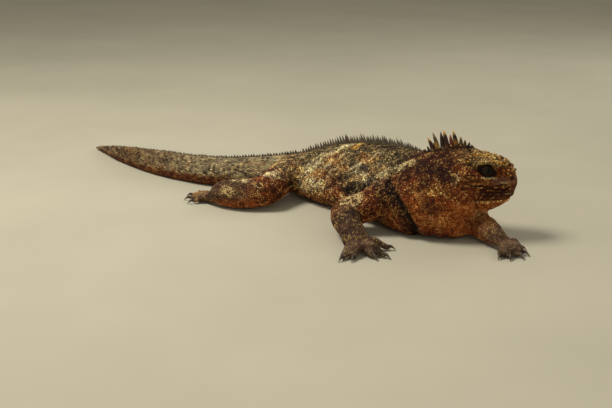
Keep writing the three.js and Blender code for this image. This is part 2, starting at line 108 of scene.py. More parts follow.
# the breast between the forelegs
BREAST = [[176, 5, 17.5, 33, 16], [200, 9, 16.5, 31, 15.7], [216, 15, 15.3, 27, 14.4], [228, 22, 14.5, 20, 13.2], [235, 26.5, 14, 12, 8.5], [239, 29, 14, 4, 3]]
# the tall spines of the nape: x of the root on the midline, height, lean back as a share of the height, half length of the root, colour of the tip
NAPE = [
  (178.5, 4, 0.3, 2.2, "dark"), (183.6, 7.0, 0.45, 2.6, "dark"), (188.8, 16.0, 0.52, 3.9, "yellow"), (195.1, 21.0, 0.38, 3.3, "olive"), (200.6, 21.3, 0.18, 3.0, "dark"), (205.2, 22.3, 0.23, 3.2, "yellow"), (209.9, 16, 0.16, 2.7, "red"),
  (214.6, 19.8, 0.25, 3.2, "yellow"), (218.8, 12.8, 0.08, 2.5, "olive"), (222.2, 9.8, 0.02, 2.2, "olive"), (225.4, 7.2, -0.15, 2.1, "dark"), (228.6, 4.2, 0.05, 1.9, "dark"), (232.2, 2.8, 0.1, 1.8, "dark"), (236.0, 2.2, 0.1, 1.6, "dark"), (240.0, 2.0, 0.1, 1.6, "olive"),
]


# ---------------------------------------------------------------- small maths
def out(p):
    return (np.asarray(p, float) + SHIFT) * 0.001


def unit(v):
    v = np.asarray(v, float)
    return v / np.maximum(np.linalg.norm(v, axis=-1, keepdims=True), 1e-9)


def smooth(a, b, x):
    t = np.clip((x - a) / (b - a), 0, 1)
    return t * t * (3 - 2 * t)


def bell(x, c, w):
    return np.exp(-(((x - c) / w) ** 2))


def catmull(T, per):
    T = np.asarray(T, float)
    n, rows = len(T), []
    for k in range(n - 1):
        p0, p1, p2, p3 = T[max(k - 1, 0)], T[k], T[k + 1], T[min(k + 2, n - 1)]
        for i in range(per):
            t = i / per
            rows.append(0.5 * (2 * p1 + (p2 - p0) * t + (2 * p0 - 5 * p1 + 4 * p2 - p3) * t * t + (3 * p1 - p0 - 3 * p2 + p3) * t ** 3))
    rows.append(T[-1])
    return np.array(rows)


def hash3(i, j, k, seed):
    h = (i * 374761393 + j * 668265263 + k * 2147483647 + seed * 1274126177) & 0xFFFFFFFF
    h = ((h ^ (h >> 13)) * 1274126177) & 0xFFFFFFFF
    h = (h ^ (h >> 16)) & 0xFFFFFFFF
    return h / 4294967295.0


def noise(P, size, seed=0):
    """Value noise in 0..1; size is the width of a patch in mm, one number or one for each axis."""
    q = P / np.asarray(size, float) + 1000.37
    f = np.floor(q)
    t = q - f
    t = t * t * (3 - 2 * t)
    f = f.astype(np.int64)
    v = 0
    for dx in (0, 1):
        for dy in (0, 1):
            for dz in (0, 1):
                w = (t[:, 0] if dx else 1 - t[:, 0]) * (t[:, 1] if dy else 1 - t[:, 1]) * (t[:, 2] if dz else 1 - t[:, 2])
                v = v + w * hash3(f[:, 0] + dx, f[:, 1] + dy, f[:, 2] + dz, seed)
    return v


def fbm(P, size, seed=0, octaves=3):
    v, a, tot = 0, 1.0, 0
    size = np.asarray(size, float)
    for o in range(octaves):
        v = v + a * noise(P, size / 2 ** o, seed + 17 * o)
        tot += a
        a *= 0.55
    return v / tot


# ---------------------------------------------------------------- the midline
ROWS = catmull(BODY, 16)
_t = np.gradient(ROWS[:, :2], axis=0)
TAN = unit(_t)
SIDE = np.stack([TAN[:, 1], -TAN[:, 0]], 1)      # towards the animal's right
ARC = np.concatenate([[0], np.cumsum(np.hypot(*np.diff(ROWS[:, :2], axis=0).T))])
LENGTH = ARC[-1]


def arc_of_x(x):
    return float(np.interp(x, ROWS[:, 0], ARC))


def at(s):
    row = np.array([np.interp(s, ARC, ROWS[:, j]) for j in range(8)]).T
    t = unit(np.stack([np.interp(s, ARC, TAN[:, 0]), np.interp(s, ARC, TAN[:, 1])], -1))
    return row, t, np.stack([t[..., 1], -t[..., 0]], -1)


HIP, NAPE_GAP, NAPE_END = arc_of_x(-52), arc_of_x(172), arc_of_x(236)
S_HEAD = arc_of_x(220)
HX = np.array([math.cos(HEAD_YAW), math.sin(HEAD_YAW)])
HR = np.array([math.sin(HEAD_YAW), -math.cos(HEAD_YAW)])


def head_point(f, r, z):
    q = HEAD0 + HX * f + HR * r
    return np.array([q[0], q[1], z])


def head_coords(P):
    d = P[:, :2] - HEAD0
    return d @ HX, d @ HR, P[:, 2]


# ---------------------------------------------------------------- rings to closed shells
def shell(rings):
    R, n = rings.shape[:2]
    V = rings.reshape(-1, 3)
    V = np.concatenate([V, rings[0].mean(0)[None], rings[-1].mean(0)[None]])
    i = np.arange(R - 1)[:, None] * n
    j = np.arange(n)[None]
    jn = (j + 1) % n
    quads = np.stack([i + j, i + jn, i + n + jn, i + n + j], -1).reshape(-1, 4)
    a = np.stack([np.full(n, R * n), (np.arange(n) + 1) % n, np.arange(n)], -1)
    b = np.stack([np.full(n, R * n + 1), (R - 1) * n + np.arange(n), (R - 1) * n + (np.arange(n) + 1) % n], -1)
    F = [list(f) for f in quads] + [list(f) for f in a] + [list(f) for f in b]
    p = V[quads]
    vol = np.einsum("ij,ij->i", p[:, 0], np.cross(p[:, 1], p[:, 2])).sum() + np.einsum("ij,ij->i", p[:, 0], np.cross(p[:, 2], p[:, 3])).sum()
    if vol < 0:
        F = [f[::-1] for f in F]
    return V, F


def spow(x, n):
    return np.sign(x) * np.abs(x) ** (2 / n)


def body_shell(n=96, grow=0.0):
    a = 2 * np.pi * np.arange(n) / n
    c, s = np.cos(a), np.sin(a)
    rings = []
    for row, side in zip(ROWS, SIDE):
        x, y, top, bot, w, mid, nt, nb = row
        e = np.where(s >= 0, nt, nb)
        w_, t_, b_ = max(w + grow, 0.4), max(top - mid + grow, 0.4), max(mid - bot + grow, 0.4)
        u = spow(c, e) * w_
        z = mid + spow(s, e) * np.where(s >= 0, t_, b_)
        rings.append(np.stack([x + side[0] * u, y + side[1] * u, z], 1))
    return shell(np.array(rings))


def tube_frames(rows):
    P = rows[:, :3]
    T = unit(np.gradient(P, axis=0))
    up = np.array([0, 0, 1.0])
    A = np.cross(T, up)
    last = None
    X = []
    for i, t in enumerate(T):
        x = A[i]
        if np.linalg.norm(x) < 0.25 and last is not None:
            x = last - t * last.dot(t)
        x = unit(x)
        if last is not None and x.dot(last) < 0:
            x = -x
        last = x
        X.append(x)
    X = np.array(X)
    Z = np.cross(X, T)
    Z[Z[:, 2] < 0] *= -1
    return P, T, X, unit(Z)


def tube(stations, n=32, per=8, grow=0.0, caps=(1.0, 1.0)):
    rows = catmull(stations, per)
    P, T, X, Z = tube_frames(rows)
    a = 2 * np.pi * np.arange(n) / n
    rings = []
    r = np.maximum(rows[:, 3:5] + grow, 0.3)
    for k in (0.97, 0.85, 0.62, 0.3):
        h = math.sqrt(1 - k * k) * r[0].min() * caps[0]
        rings.insert(0, P[0] - T[0] * h + k * (np.cos(a)[:, None] * X[0] * r[0, 0] + np.sin(a)[:, None] * Z[0] * r[0, 1]))
    for p, x, z, rr in zip(P, X, Z, r):
        rings.append(p + np.cos(a)[:, None] * x * rr[0] + np.sin(a)[:, None] * z * rr[1])
    for k in (0.97, 0.85, 0.62, 0.3):
        h = math.sqrt(1 - k * k) * r[-1].min() * caps[1]
        rings.append(P[-1] + T[-1] * h + k * (np.cos(a)[:, None] * X[-1] * r[-1, 0] + np.sin(a)[:, None] * Z[-1] * r[-1, 1]))
    return shell(np.array(rings))


def ball(c, rx, ry, rz, yaw=0.0, n=32, m=20):
    th = np.pi * (np.arange(1, m)) / m
    a = 2 * np.pi * np.arange(n) / n
    rings = np.stack([np.sin(th)[:, None] * np.cos(a) * rx, np.sin(th)[:, None] * np.sin(a) * ry, np.cos(th)[:, None] * np.ones(n) * rz], -1)
    cy, sy = math.cos(yaw), math.sin(yaw)
    x = rings[..., 0] * cy - rings[..., 1] * sy
    y = rings[..., 0] * sy + rings[..., 1] * cy
    return shell(np.stack([x + c[0], y + c[1], rings[..., 2] + c[2]], -1))


def toe_list(name):
    """Toe axes and claws of a limb: dicts with origin o, direction e, length, radius, claw length, arch and height at the wrist."""
    L = LIMBS[name]
    fore = name.endswith("fore")
    sp = L["palm"]
    w = np.array(sp[-1][:3], float)
    ahead = unit(np.array([w[0] - sp[-2][0], w[1] - sp[-2][1], 0.0]))
    res = []
    for i, (tx, ty) in enumerate(L["toes"]):
        outer = abs(i - 2) / 2
        d = unit(np.array([tx - w[0], ty - w[1], 0.0]))
        o = np.array([w[0], w[1], 0.0]) + ahead * (-5 - 3 * outer) + d * 4
        e = unit(np.array([tx - o[0], ty - o[1], 0.0]))
        reach = math.hypot(tx - o[0], ty - o[1])
        c = CLAW_LEN * (1 - 0.2 * outer)
        r = (6.3 if fore else 5.6) * (1 - 0.06 * outer)
        res.append(dict(o=o, e=e, length=reach - c, r=r, c=c, arch=6 if fore else 4, z=w[2]))
    return res


def toe_stations(t):
    o, e, ln, r, wz, arch = t["o"], t["e"], t["length"], t["r"], t["z"], t["arch"]
    f = np.array([0.05, 0.28, 0.48, 0.66, 0.82, 0.93, 1.0])
    z = np.interp(f, [0.05, 0.48, 1.0], [wz, wz * 0.5 + arch, 3.5]) + 0.9 * np.sin(np.pi * f) ** 2
    k = np.interp(f, [0.05, 0.48, 1.0], [1.0, 0.98, 0.74])
    k *= 1 + np.array([0, -0.05, 0.07, -0.05, 0.06, -0.02, -0.05])
    return [[o[0] + e[0] * ln * a, o[1] + e[1] * ln * a, b, r * c, r * c * 0.92] for a, b, c in zip(f, z, k)]


# ---------------------------------------------------------------- Blender helpers
def make_object(name, V, F, place=True):
    me = bpy.data.meshes.new(name)
    me.from_pydata([tuple(v) for v in (out(V) if place else V)], [], [tuple(int(i) for i in f) for f in F])
    me.validate()
    ob = bpy.data.objects.new(name, me)
    bpy.context.scene.collection.objects.link(ob)
    return ob


def fast_mesh(name, V, F):
    """A mesh from arrays of vertices in metres and triangles or quads, all of one size."""
    me = bpy.data.meshes.new(name)
    n, k = F.shape
    me.vertices.add(len(V))
    me.vertices.foreach_set("co", np.ascontiguousarray(V, np.float32).ravel())
    me.loops.add(n * k)
    me.loops.foreach_set("vertex_index", np.ascontiguousarray(F, np.int32).ravel())
    me.polygons.add(n)
    me.polygons.foreach_set("loop_start", np.arange(0, n * k, k, dtype=np.int32))
    me.update(calc_edges=True)
    me.polygons.foreach_set("use_smooth", np.ones(n, bool))
    ob = bpy.data.objects.new(name, me)
    bpy.context.scene.collection.objects.link(ob)
    return ob


def set_colour(me, C, name="tint"):
    a = me.color_attributes.get(name) or me.color_attributes.new(name=name, type="FLOAT_COLOR", domain="POINT")
    full = np.ones((len(me.vertices), 4), np.float32)
    full[:, :3] = np.clip(C, 0, 1)
    a.data.foreach_set("color", full.ravel())


def verts_of(me):
    v = np.empty(len(me.vertices) * 3, np.float32)
    me.vertices.foreach_get("co", v)
    return v.reshape(-1, 3).astype(float)


def tris_of(me):
    me.calc_loop_triangles()
    t = np.empty(len(me.loop_triangles) * 3, np.int32)
    me.loop_triangles.foreach_get("vertices", t)
    return t.reshape(-1, 3)


def edges_of(me):
    e = np.empty(len(me.edges) * 2, np.int32)
    me.edges.foreach_get("vertices", e)
    return e.reshape(-1, 2)


def vertex_normals(V, T):
    n = np.cross(V[T[:, 1]] - V[T[:, 0]], V[T[:, 2]] - V[T[:, 0]])
    N = np.zeros_like(V)
    for k in range(3):
        for c in range(3):
            N[:, c] += np.bincount(T[:, k], n[:, c], len(V))
    return unit(N)


def laplace(V, E, w, times, amount=0.5):
    cnt = np.bincount(E.ravel(), minlength=len(V)).astype(float)
    cnt[cnt == 0] = 1
    for _ in range(times):
        S = np.zeros_like(V)
        for c in range(3):
            S[:, c] = np.bincount(E[:, 0], V[E[:, 1], c], len(V)) + np.bincount(E[:, 1], V[E[:, 0], c], len(V))
        V = V + (S / cnt[:, None] - V) * (w * amount)[:, None]
    return V


# ---------------------------------------------------------------- the skin
def build_skin():
    shells = [body_shell(96, -COAT), tube(BREAST, 32, 6, -COAT)]
    for name, L in LIMBS.items():
        shells.append(tube(L["upper"], 32, 10, -COAT))
        shells.append(tube(L["lower"] + L["palm"][1:], 32, 8, -COAT, (0.9, 0.5)))
        for t in toe_list(name):
            shells.append(tube(toe_stations(t), 20, 5, -COAT * 0.5, (0.9, 0.8)))
    for sd in (1, -1):
        shells.append(tube([[*head_point(13, 23.0 * sd, 91.5), 4.5, 3.5], [*head_point(25, 22.4 * sd, 94.0), 5.2, 3.8], [*head_point(36, 18.5 * sd, 91.5), 5, 3.6], [*head_point(44, 13.5 * sd, 88.0), 4, 3.2]], 20, 6, -0.4))
        shells.append(ball(head_point(0, 29.5 * sd, 56), 19, 9.5, 18, HEAD_YAW))
    V, F, base = [], [], 0
    for v, f in shells:
        V.append(v)
        F += [[i + base for i in q] for q in f]
        base += len(v)
    ob = make_object("skin", np.concatenate(V), F)
    mod = ob.modifiers.new("remesh", "REMESH")
    mod.mode = "VOXEL"
    mod.voxel_size = 0.00212
    mod.use_smooth_shade = True
    dg = bpy.context.evaluated_depsgraph_get()
    me = bpy.data.meshes.new_from_object(ob.evaluated_get(dg))
    ob.modifiers.clear()
    old = ob.data
    ob.data = me
    bpy.data.meshes.remove(old)
    me.name = "skin"
    return ob


def to_mm(V):
    return V * 1000 - SHIFT


def to_m(V):
    return (V + SHIFT) * 0.001


# limb axes as dense samples, for telling which limb or toe a point is on
AXES = []
for _name, _L in LIMBS.items():
    rows = catmull(_L["upper"], 12)
    rows2 = catmull(_L["lower"] + _L["palm"][1:], 10)
    r = np.concatenate([rows, rows2[1:]])
    P, T, X, Z = tube_frames(r)
    arc = np.concatenate([[0], np.cumsum(np.linalg.norm(np.diff(P, axis=0), axis=1))])
    AXES.append(dict(name=_name, toe=-1, P=P, T=T, X=X, Z=Z, r=r[:, 3:5], arc=arc, elbow=arc[len(rows) - 1]))
    for _i, _t in enumerate(toe_list(_name)):
        r = catmull(toe_stations(_t), 5)
        P, T, X, Z = tube_frames(r)
        a2 = np.concatenate([[0], np.cumsum(np.linalg.norm(np.diff(P, axis=0), axis=1))])
        AXES.append(dict(name=_name, toe=_i, P=P, T=T, X=X, Z=Z, r=r[:, 3:5], arc=a2, elbow=0))


FOLD = np.array([[158, -29, 64], [168, -32, 54], [178, -33, 47], [186, -32, 38], [192, -30, 27], [196, -26, 17], [195, -19, 8]], float)


def fold_distance(P):
    """Distance to the fold between the shoulder and the neck, on either side."""
    best = np.full(len(P), 99.0)
    for q in (FOLD, FOLD * np.array([1, -1, 1]) + np.array([0, 27, 0])):
        for a, b in zip(q[:-1], q[1:]):
            d = b - a
            t = np.clip(((P - a) @ d) / (d @ d), 0, 1)
            best = np.minimum(best, np.linalg.norm(P - (a + t[:, None] * d), axis=1))
    return best


def locate(P):
    """Where each point is on the animal: distance along the body, angle round it, how near its surface is to the body's or a limb's, and the way the scales lie."""
    N = len(P)
    L = dict()
    k = np.empty(N, int)
    step = 3
    Q = ROWS[::step, :2]
    for i in range(0, N, 20000):
        d = ((P[i:i + 20000, None, :2] - Q[None]) ** 2).sum(-1)
        k[i:i + 20000] = d.argmin(1) * step
    k = np.minimum(k, len(ROWS) - 1)
    s = ARC[k] + ((P[:, :2] - ROWS[k, :2]) * TAN[k]).sum(1)
    s = np.clip(s, 0, LENGTH)
    row, t, side = at(s)
    u = ((P[:, :2] - row[:, :2]) * side).sum(1)
    h = np.where(P[:, 2] >= row[:, 5], row[:, 2] - row[:, 5], row[:, 5] - row[:, 3])
    v = (P[:, 2] - row[:, 5]) / np.maximum(h, 0.5)
    e = np.where(v >= 0, row[:, 6], row[:, 7])
    L["s"], L["u"], L["v"], L["w"], L["row"] = s, u, v, row[:, 4], row
    L["rho"] = (np.abs(u / row[:, 4]) ** e + np.abs(v) ** e) ** (1 / e)
    L["ang"] = np.arctan2(v, u / row[:, 4])       # 0 right flank, pi/2 back, pi left flank, -pi/2 belly
    best = np.full(N, 9.0)
    limb = np.full(N, -1)
    idx = np.zeros(N, int)
    for a, A in enumerate(AXES):
        lo, hi = A["P"].min(0) - 32, A["P"].max(0) + 32
        m = np.nonzero(((P > lo) & (P < hi)).all(1))[0]
        if not len(m):
            continue
        d = ((P[m, None] - A["P"][None]) ** 2).sum(-1)
        q = d.argmin(1)
        off = P[m] - A["P"][q]
        x = (off * A["X"][q]).sum(1) / A["r"][q, 0]
        z = (off * A["Z"][q]).sum(1) / A["r"][q, 1]
        al = (off * A["T"][q]).sum(1) / A["r"][q].mean(1)
        rho = np.sqrt(x * x + z * z + al * al)
        better = np.abs(rho - 1) + 0.0 < best[m]
        mm = m[better]
        best[mm] = np.abs(rho - 1)[better]
        limb[mm] = a
        idx[mm] = q[better]
    r_body = np.abs(L["rho"] - 1) * np.minimum(row[:, 4], h)
    r_limb = np.full(N, 99.0)
    f = np.stack([-t[:, 0], -t[:, 1], np.zeros(N)], 1)
    fl = f.copy()
    ls, lx, lz, toe, lname = np.zeros(N), np.zeros(N), np.zeros(N), np.full(N, -1), np.full(N, -1)
    elbow = np.ones(N)
    names = list(LIMBS)
    for a, A in enumerate(AXES):
        m = limb == a
        if not m.any():
            continue
        q = idx[m]
        r_limb[m] = best[m] * A["r"][q].mean(1)
        fl[m] = A["T"][q]
        ls[m] = A["arc"][q]
        off = P[m] - A["P"][q]
        lx[m] = (off * A["X"][q]).sum(1)
        lz[m] = (off * A["Z"][q]).sum(1)
        toe[m] = A["toe"]
        lname[m] = names.index(A["name"])
        elbow[m] = max(A["elbow"], 1)
    wl = smooth(-3.5, 3.5, r_body - r_limb) * (limb >= 0)
    L.update(wl=wl, ls=ls, lx=lx, lz=lz, toe=toe, limb=lname, r_body=r_body, r_limb=r_limb, elbow=elbow)
    L["flow"] = unit(f * (1 - wl[:, None]) + fl * wl[:, None])
    hf, hr, hz = head_coords(P)
    L["hf"], L["hr"], L["hz"] = hf, hr, hz
    L["head"] = smooth(-14, 2, hf) * (s > S_HEAD - 30) * (1 - wl)
    return L


def mouth_line(f):
    return np.interp(f, [12, 21.5, 38, 53, 60], [53.0, 52.0, 50.4, 49.9, 50.6])


LIP_FOLDS = ((68.2, 14, 50, 1.3, 5.5), (64.2, 17, 54, 1.5, 4.6), (60.2, 19, 52, 1.3, 5.1), (56.2, 23, 55, 1.1, 4.1))
WRINKLES = ((80.4, 1.3), (76.9, 1.8), (73.5, 1.7), (70.2, 1.3))


def lip_fold(z0, turn, f):
    return z0 - 0.03 * (f - 30) + 0.9 * np.sin(f / turn + z0)


def wrinkle(z0, f):
    return z0 - 0.10 * (f - 8) + 0.9 * np.sin(f / 4.3 + z0)


def crescent(f):
    return np.interp(f, [18, 24, 34, 44, 54], [78.6, 77.4, 77.2, 73.0, 70.8])


def eye_frame(sd):
    """Centre of the eye, and its slit, up and outward directions."""
    c = head_point(EYE[0], EYE[1] * sd, EYE[2])
    hx = np.array([*HX, 0])
    hr = np.array([*HR, 0]) * sd
    o = unit(hx * 0.20 + hr * 0.95 + np.array([0, 0, 0.14]))
    a = unit(hx * 0.97 + np.array([0, 0, -0.12]))
    a = unit(a - o * a.dot(o))
    b = np.cross(o, a)
    if b[2] < 0:
        b = -b
    return c, a, b, o


def shape_skin(ob):
    me = ob.data
    V = to_mm(verts_of(me))
    E = edges_of(me)
    w = np.ones(len(V))
    V = laplace(V, E, w, 5, 0.5)
    # wider blends where the limbs and the jaw join the body
    L = locate(V)
    j = bell(L["r_body"] - L["r_limb"], 0, 5.0) * (L["wl"] > 0.01) * (L["toe"] < 0)
    cen = [(np.array(LIMBS["r_fore"]["upper"][0][:3]), 34), (np.array(LIMBS["r_hind"]["upper"][0][:3]), 36), (np.array(LIMBS["l_hind"]["upper"][0][:3]), 36), (np.array(LIMBS["l_fore"]["upper"][0][:3]), 34)]
    j = np.maximum(j, 0)
    V = laplace(V, E, np.clip(j, 0, 1), 12, 0.5)
    jaw = smooth(26, 14, np.abs(L["hf"] - 0)) * smooth(20, 30, np.abs(L["hr"])) * (L["wl"] < 0.3)
    V = laplace(V, E, jaw, 14, 0.5)
    palm = (L["toe"] >= 0) * smooth(16, 6, L["ls"])
    V = laplace(V, E, palm, 5, 0.5)
    me.vertices.foreach_set("co", to_m(V).astype(np.float32).ravel())
    # finer mesh on the head and the feet, and finer still round the eyes
    bm = bmesh.new()
    bm.from_mesh(me)

    def refine(test):
        bm.verts.ensure_lookup_table()
        P = to_mm(np.array([v.co[:] for v in bm.verts]))
        m = test(P)
        es = [e for e in bm.edges if m[e.verts[0].index] or m[e.verts[1].index]]
        bmesh.ops.subdivide_edges(bm, edges=es, cuts=1, use_grid_fill=True)
        bm.verts.index_update()

    def headish(P):
        f, r, z = head_coords(P)
        return (f > -22) & (np.abs(r) < 48) & (z > 24) & (f < 80) & ~((z < 33) & (f > 10))

    def toes(P):
        m = np.zeros(len(P), bool)
        for A in AXES:
            if A["toe"] >= 0:
                lo, hi = A["P"].min(0) - 9, A["P"].max(0) + 9
                m |= ((P > lo) & (P < hi)).all(1)
        return m & (P[:, 2] < 26)

    def eyes(P):
        m = np.zeros(len(P), bool)
        for sd in (1, -1):
            c, a, b, o = eye_frame(sd)
            m |= np.linalg.norm(P - (c + o * 3), axis=1) < 11.5
        return m

    refine(lambda P: headish(P))
    refine(toes)
    refine(eyes)
    bmesh.ops.triangulate(bm, faces=[f for f in bm.faces if len(f.verts) > 4])
    bm.to_mesh(me)
    bm.free()
    V = to_mm(verts_of(me))
    E = edges_of(me)
    V = laplace(V, E, np.full(len(V), 1.0), 2, 0.45)
    T = tris_of(me)
    N = vertex_normals(V, T)
    L = locate(V)
    s, ang, wl = L["s"], L["ang"], L["wl"]
    hf, hr, hz = L["hf"], L["hr"], L["hz"]
    body = 1 - wl
    D = np.zeros(len(V))                         # along the normal
    # loose skin: oblique folds on the flanks, a fold along the belly, folds at neck and shoulder
    side = np.abs(np.cos(ang)) ** 1.5
    onb = smooth(HIP + 6, HIP + 40, s) * smooth(NAPE_GAP + 10, NAPE_GAP - 25, s)
    z = V[:, 2]
    wob = fbm(V, 34, 5) * 18
    slant = s - 1.1 * z
    D += body * onb * side * 0.9 * np.sin((slant + wob) / 5.2) * smooth(0.35, 0.75, fbm(V, (46, 46, 30), 9))
    D += body * onb * side * 0.28 * np.sin((slant * 0.9 + fbm(V, 18, 21) * 18) / 2.4) * smooth(0.3, 0.6, fbm(V, 22, 23))
    # the loose skin before the thigh and behind the arm
    for s0, z0, dep, wid in ((452, 30, 2.0, 3.2), (462, 30, 1.2, 2.6), (474, 30, 0.8, 2.4), (613, 44, 1.6, 3.4), (600, 40, 0.9, 2.8)):
        D -= body * side * dep * bell(slant, s0 - 1.1 * z0, wid) * smooth(z0 + 32, z0 + 8, z) * smooth(4, 14, z)
    flap = bell(z, 13 + 3 * np.sin(s / 17), 3.0) * onb * side
    D += body * flap * -1.5
    flap2 = bell(z, 7.0 + 2 * np.sin(s / 17), 3.0) * onb * side
    D += body * flap2 * 1.0
    D += (fbm(V, 14, 33) - 0.5) * 1.3 * (1 - L["head"] * 0.6)
    # neck folds, from the nape down to the chest, and the raised fold over the shoulder
    for s0, dep, wid in ((NAPE_GAP + 3, 2.8, 3.6), (NAPE_GAP + 17, 1.3, 2.6), (NAPE_GAP + 29, 1.0, 2.2), (NAPE_GAP + 40, 0.7, 2.0)):
        line = s0 + (hz - 60) * -0.20 + 3.2 * np.sin(hz / 13.0)
        fade = body * smooth(0.15, 0.6, np.abs(np.cos(ang))) * smooth(100, 80, z)
        D -= dep * bell(s, line, wid) * fade
        D += dep * 0.5 * bell(s, line - wid * 1.8, wid) * fade
    ridge = bell(s, 648 + (z - 74) * 0.85, 4.0) * smooth(60, 70, z) * smooth(99, 90, z) * side
    D += body * 1.7 * ridge - body * 1.6 * bell(s, 657 + (z - 74) * 0.85, 3.2) * smooth(60, 70, z) * smooth(99, 90, z) * side
    # throat: fine slanting folds on the pouch
    throat = smooth(58, 44, hz) * smooth(-44, -20, hf) * smooth(44, 24, hf) * body
    D += throat * 0.5 * np.sin((hz * 0.55 + hf * 0.75 + fbm(V, 16, 44) * 12) / 1.7)
    D -= 2.4 * bell(fold_distance(V), 0, 4.2) * (1 - L["head"]) * smooth(9, 22, V[:, 2])
    # elbow, knee and wrist creases
    limbm = (wl > 0.5) & (L["toe"] < 0)
    cr = np.sin((L["ls"] + fbm(V, 12, 51) * 7) / 2.3)
    near_elbow = bell(L["ls"], L["elbow"] + 4, 13) * (L["limb"] >= 0)
    D += limbm * near_elbow * 0.55 * cr * smooth(0.4, 0.6, fbm(V, 16, 53))
    # muscles of the limbs
    D += limbm * 0.9 * (fbm(V, (26, 26, 20), 61) - 0.5)
    # toes: scutes across the top
    tm = (L["toe"] >= 0) & (wl > 0.4)
    D += tm * 0.22 * np.sin(L["ls"] * 2 * np.pi / 2.6) * smooth(-1, 2.5, L["lz"])
    V = V + N * D[:, None]

    # ---- head
    sd = np.sign(hr)
    ar = np.abs(hr)
    hm = L["head"]
    D = np.zeros(len(V))
    # mouth: a groove with fuller lips above and below
    mz = mouth_line(hf)
    mm = smooth(13, 18, hf)
    D -= hm * mm * 2.1 * bell(hz, mz, 0.95)
    D += hm * mm * 0.9 * bell(hz, mz + 3.2, 2.2)
    D += hm * mm * 0.9 * bell(hz, mz - 3.0, 2.0)
    # folds of the upper lip
    for z0, fa, fb, dep, turn in LIP_FOLDS:
        lz = lip_fold(z0, turn, hf)
        fade = smooth(fa - 3, fa + 5, hf) * smooth(fb + 3, fb - 5, hf) * (ar > 7)
        D -= hm * dep * bell(hz, lz, 0.85) * fade
        D += hm * dep * 0.45 * bell(hz, lz + 2.0, 1.0) * fade
    # jaw corner fold
    D -= hm * 1.4 * bell(hf, 15.5 - 0.30 * (hz - 50), 1.8) * smooth(36, 42, hz) * smooth(60, 54, hz) * smooth(12, 20, ar)
    D -= hm * 0.8 * bell(hf, 9.5 - 0.30 * (hz - 50), 1.8) * smooth(38, 44, hz) * smooth(62, 56, hz) * smooth(12, 20, ar)
    # wrinkles that run back from under the eye
    for z0, dep in WRINKLES:
        D -= hm * dep * bell(hz, wrinkle(z0, hf), 0.90) * smooth(-4, 4, hf) * smooth(25, 18, hf) * (ar > 12)
    # pale ridges below the orbit and on the side of the muzzle
    zr = crescent(hf)
    D += hm * 1.35 * bell(hz, zr, 1.15) * smooth(17, 23, hf) * smooth(56, 50, hf) * (ar > 8)
    D -= hm * 0.7 * bell(hz, zr - 2.8, 1.2) * smooth(17, 23, hf) * smooth(56, 50, hf) * (ar > 8)
    # snout: nostril mounds near the front, a shallow dip between them and the eyes
    for q in (1, -1):
        nc = head_point(54.5, 14.0 * q, 77.5)
        dn = np.linalg.norm(V - nc, axis=1)
        D += 1.3 * bell(dn, 0, 6.0)
        no = head_point(56.4, 15.2 * q, 75.8)
        dn2 = np.linalg.norm((V - no) * np.array([1, 1, 1.25]), axis=1)
        D -= 4.0 * np.exp(-(dn2 / 2.6) ** 4)
        D += 0.9 * bell(dn2, 4.0, 1.3)
    D -= hm * 1.2 * bell(hf, 45, 6) * bell(hz, 85, 5) * smooth(8, 13, ar)
    # crown: flat between the brows
    D -= hm * 1.2 * smooth(12, 4, ar) * bell(hf, 28, 14) * smooth(88, 96, hz)
    # ear: a sunk oval with a raised rim
    for q in (1, -1):
        ec = head_point(EAR[0], EAR[1] * q, EAR[2])
        d = V - ec
        df = d[:, 0] * HX[0] + d[:, 1] * HX[1]
        de = np.sqrt((df / 3.6) ** 2 + (d[:, 2] / 4.9) ** 2)
        near = (np.linalg.norm(d, axis=1) < 14) & (np.sign(hr) == q)
        D += near * (-0.8 * np.exp(-de ** 4) + 0.5 * bell(de, 1.35, 0.3))
    V = V + N * D[:, None]
    # eyes: lids wrapped over the eyeball, with an almond opening
    lidm = np.zeros(len(V))
    for q in (1, -1):
        c, a, b, o = eye_frame(q)
        d = V - c
        A, B, C = d @ a, d @ b, d @ o
        r = np.hypot(A, B)
        near = (np.linalg.norm(d - o * 3, axis=1) < 21) & (C > -5) & (np.sign(hr) == q)
        # the orbit: a long bowl that slopes down to the front, under a heavy brow
        ca, sa = math.cos(-0.22), math.sin(-0.22)
        oa, ob_ = A * ca + B * sa, -A * sa + B * ca
        bowl = np.sqrt((oa / 13.5) ** 2 + ((ob_ + 0.2) / 8.0) ** 2)
        C2 = C - near * 2.6 * np.exp(-bowl ** 4)
        C2 += near * 1.5 * bell(B + 0.16 * A, 9.6, 2.4) * bell(A, 0, 14)
        C2 -= near * 0.8 * bell(B + 0.16 * A, 6.4, 1.1) * bell(A, 0, 11)
        # lids over the eyeball, thick at the margin
        Bs = B - 0.1
        opening = np.sqrt((A / 5.5) ** 2 + (np.where(Bs > 0, Bs / 2.7, Bs / 2.9)) ** 2)
        Rl = EYE_R + 0.55
        lid = np.sqrt(np.maximum(Rl ** 2 - np.minimum(r, Rl - 0.05) ** 2, 0))
        C2 = C2 + (lid - C2) * smooth(8.6, 6.4, r) * near
        C2 -= near * 0.7 * bell(r, 8.0, 0.9)
        C2 += near * 0.45 * bell(opening, 1.20, 0.16)
        C2 -= near * 0.30 * bell(opening, 1.62, 0.14)
        C2 += near * 0.25 * bell(opening, 1.95, 0.14)
        ins = near & (opening < 1.0)
        k = np.where(ins, 1 / np.maximum(opening, 0.15), 1.0)
        rim = ins & (opening > 0.7)
        A2 = np.where(rim, A * k, A)
        B2 = np.where(rim, Bs * k + 0.1, B)
        C3 = np.where(ins, C2 - 3.6 * smooth(1.0, 0.7, opening), C2)
        newp = c + A2[:, None] * a + B2[:, None] * b + C3[:, None] * o
        V = np.where(near[:, None], newp, V)
        lidm = np.maximum(lidm, near * smooth(1.6, 1.2, opening))
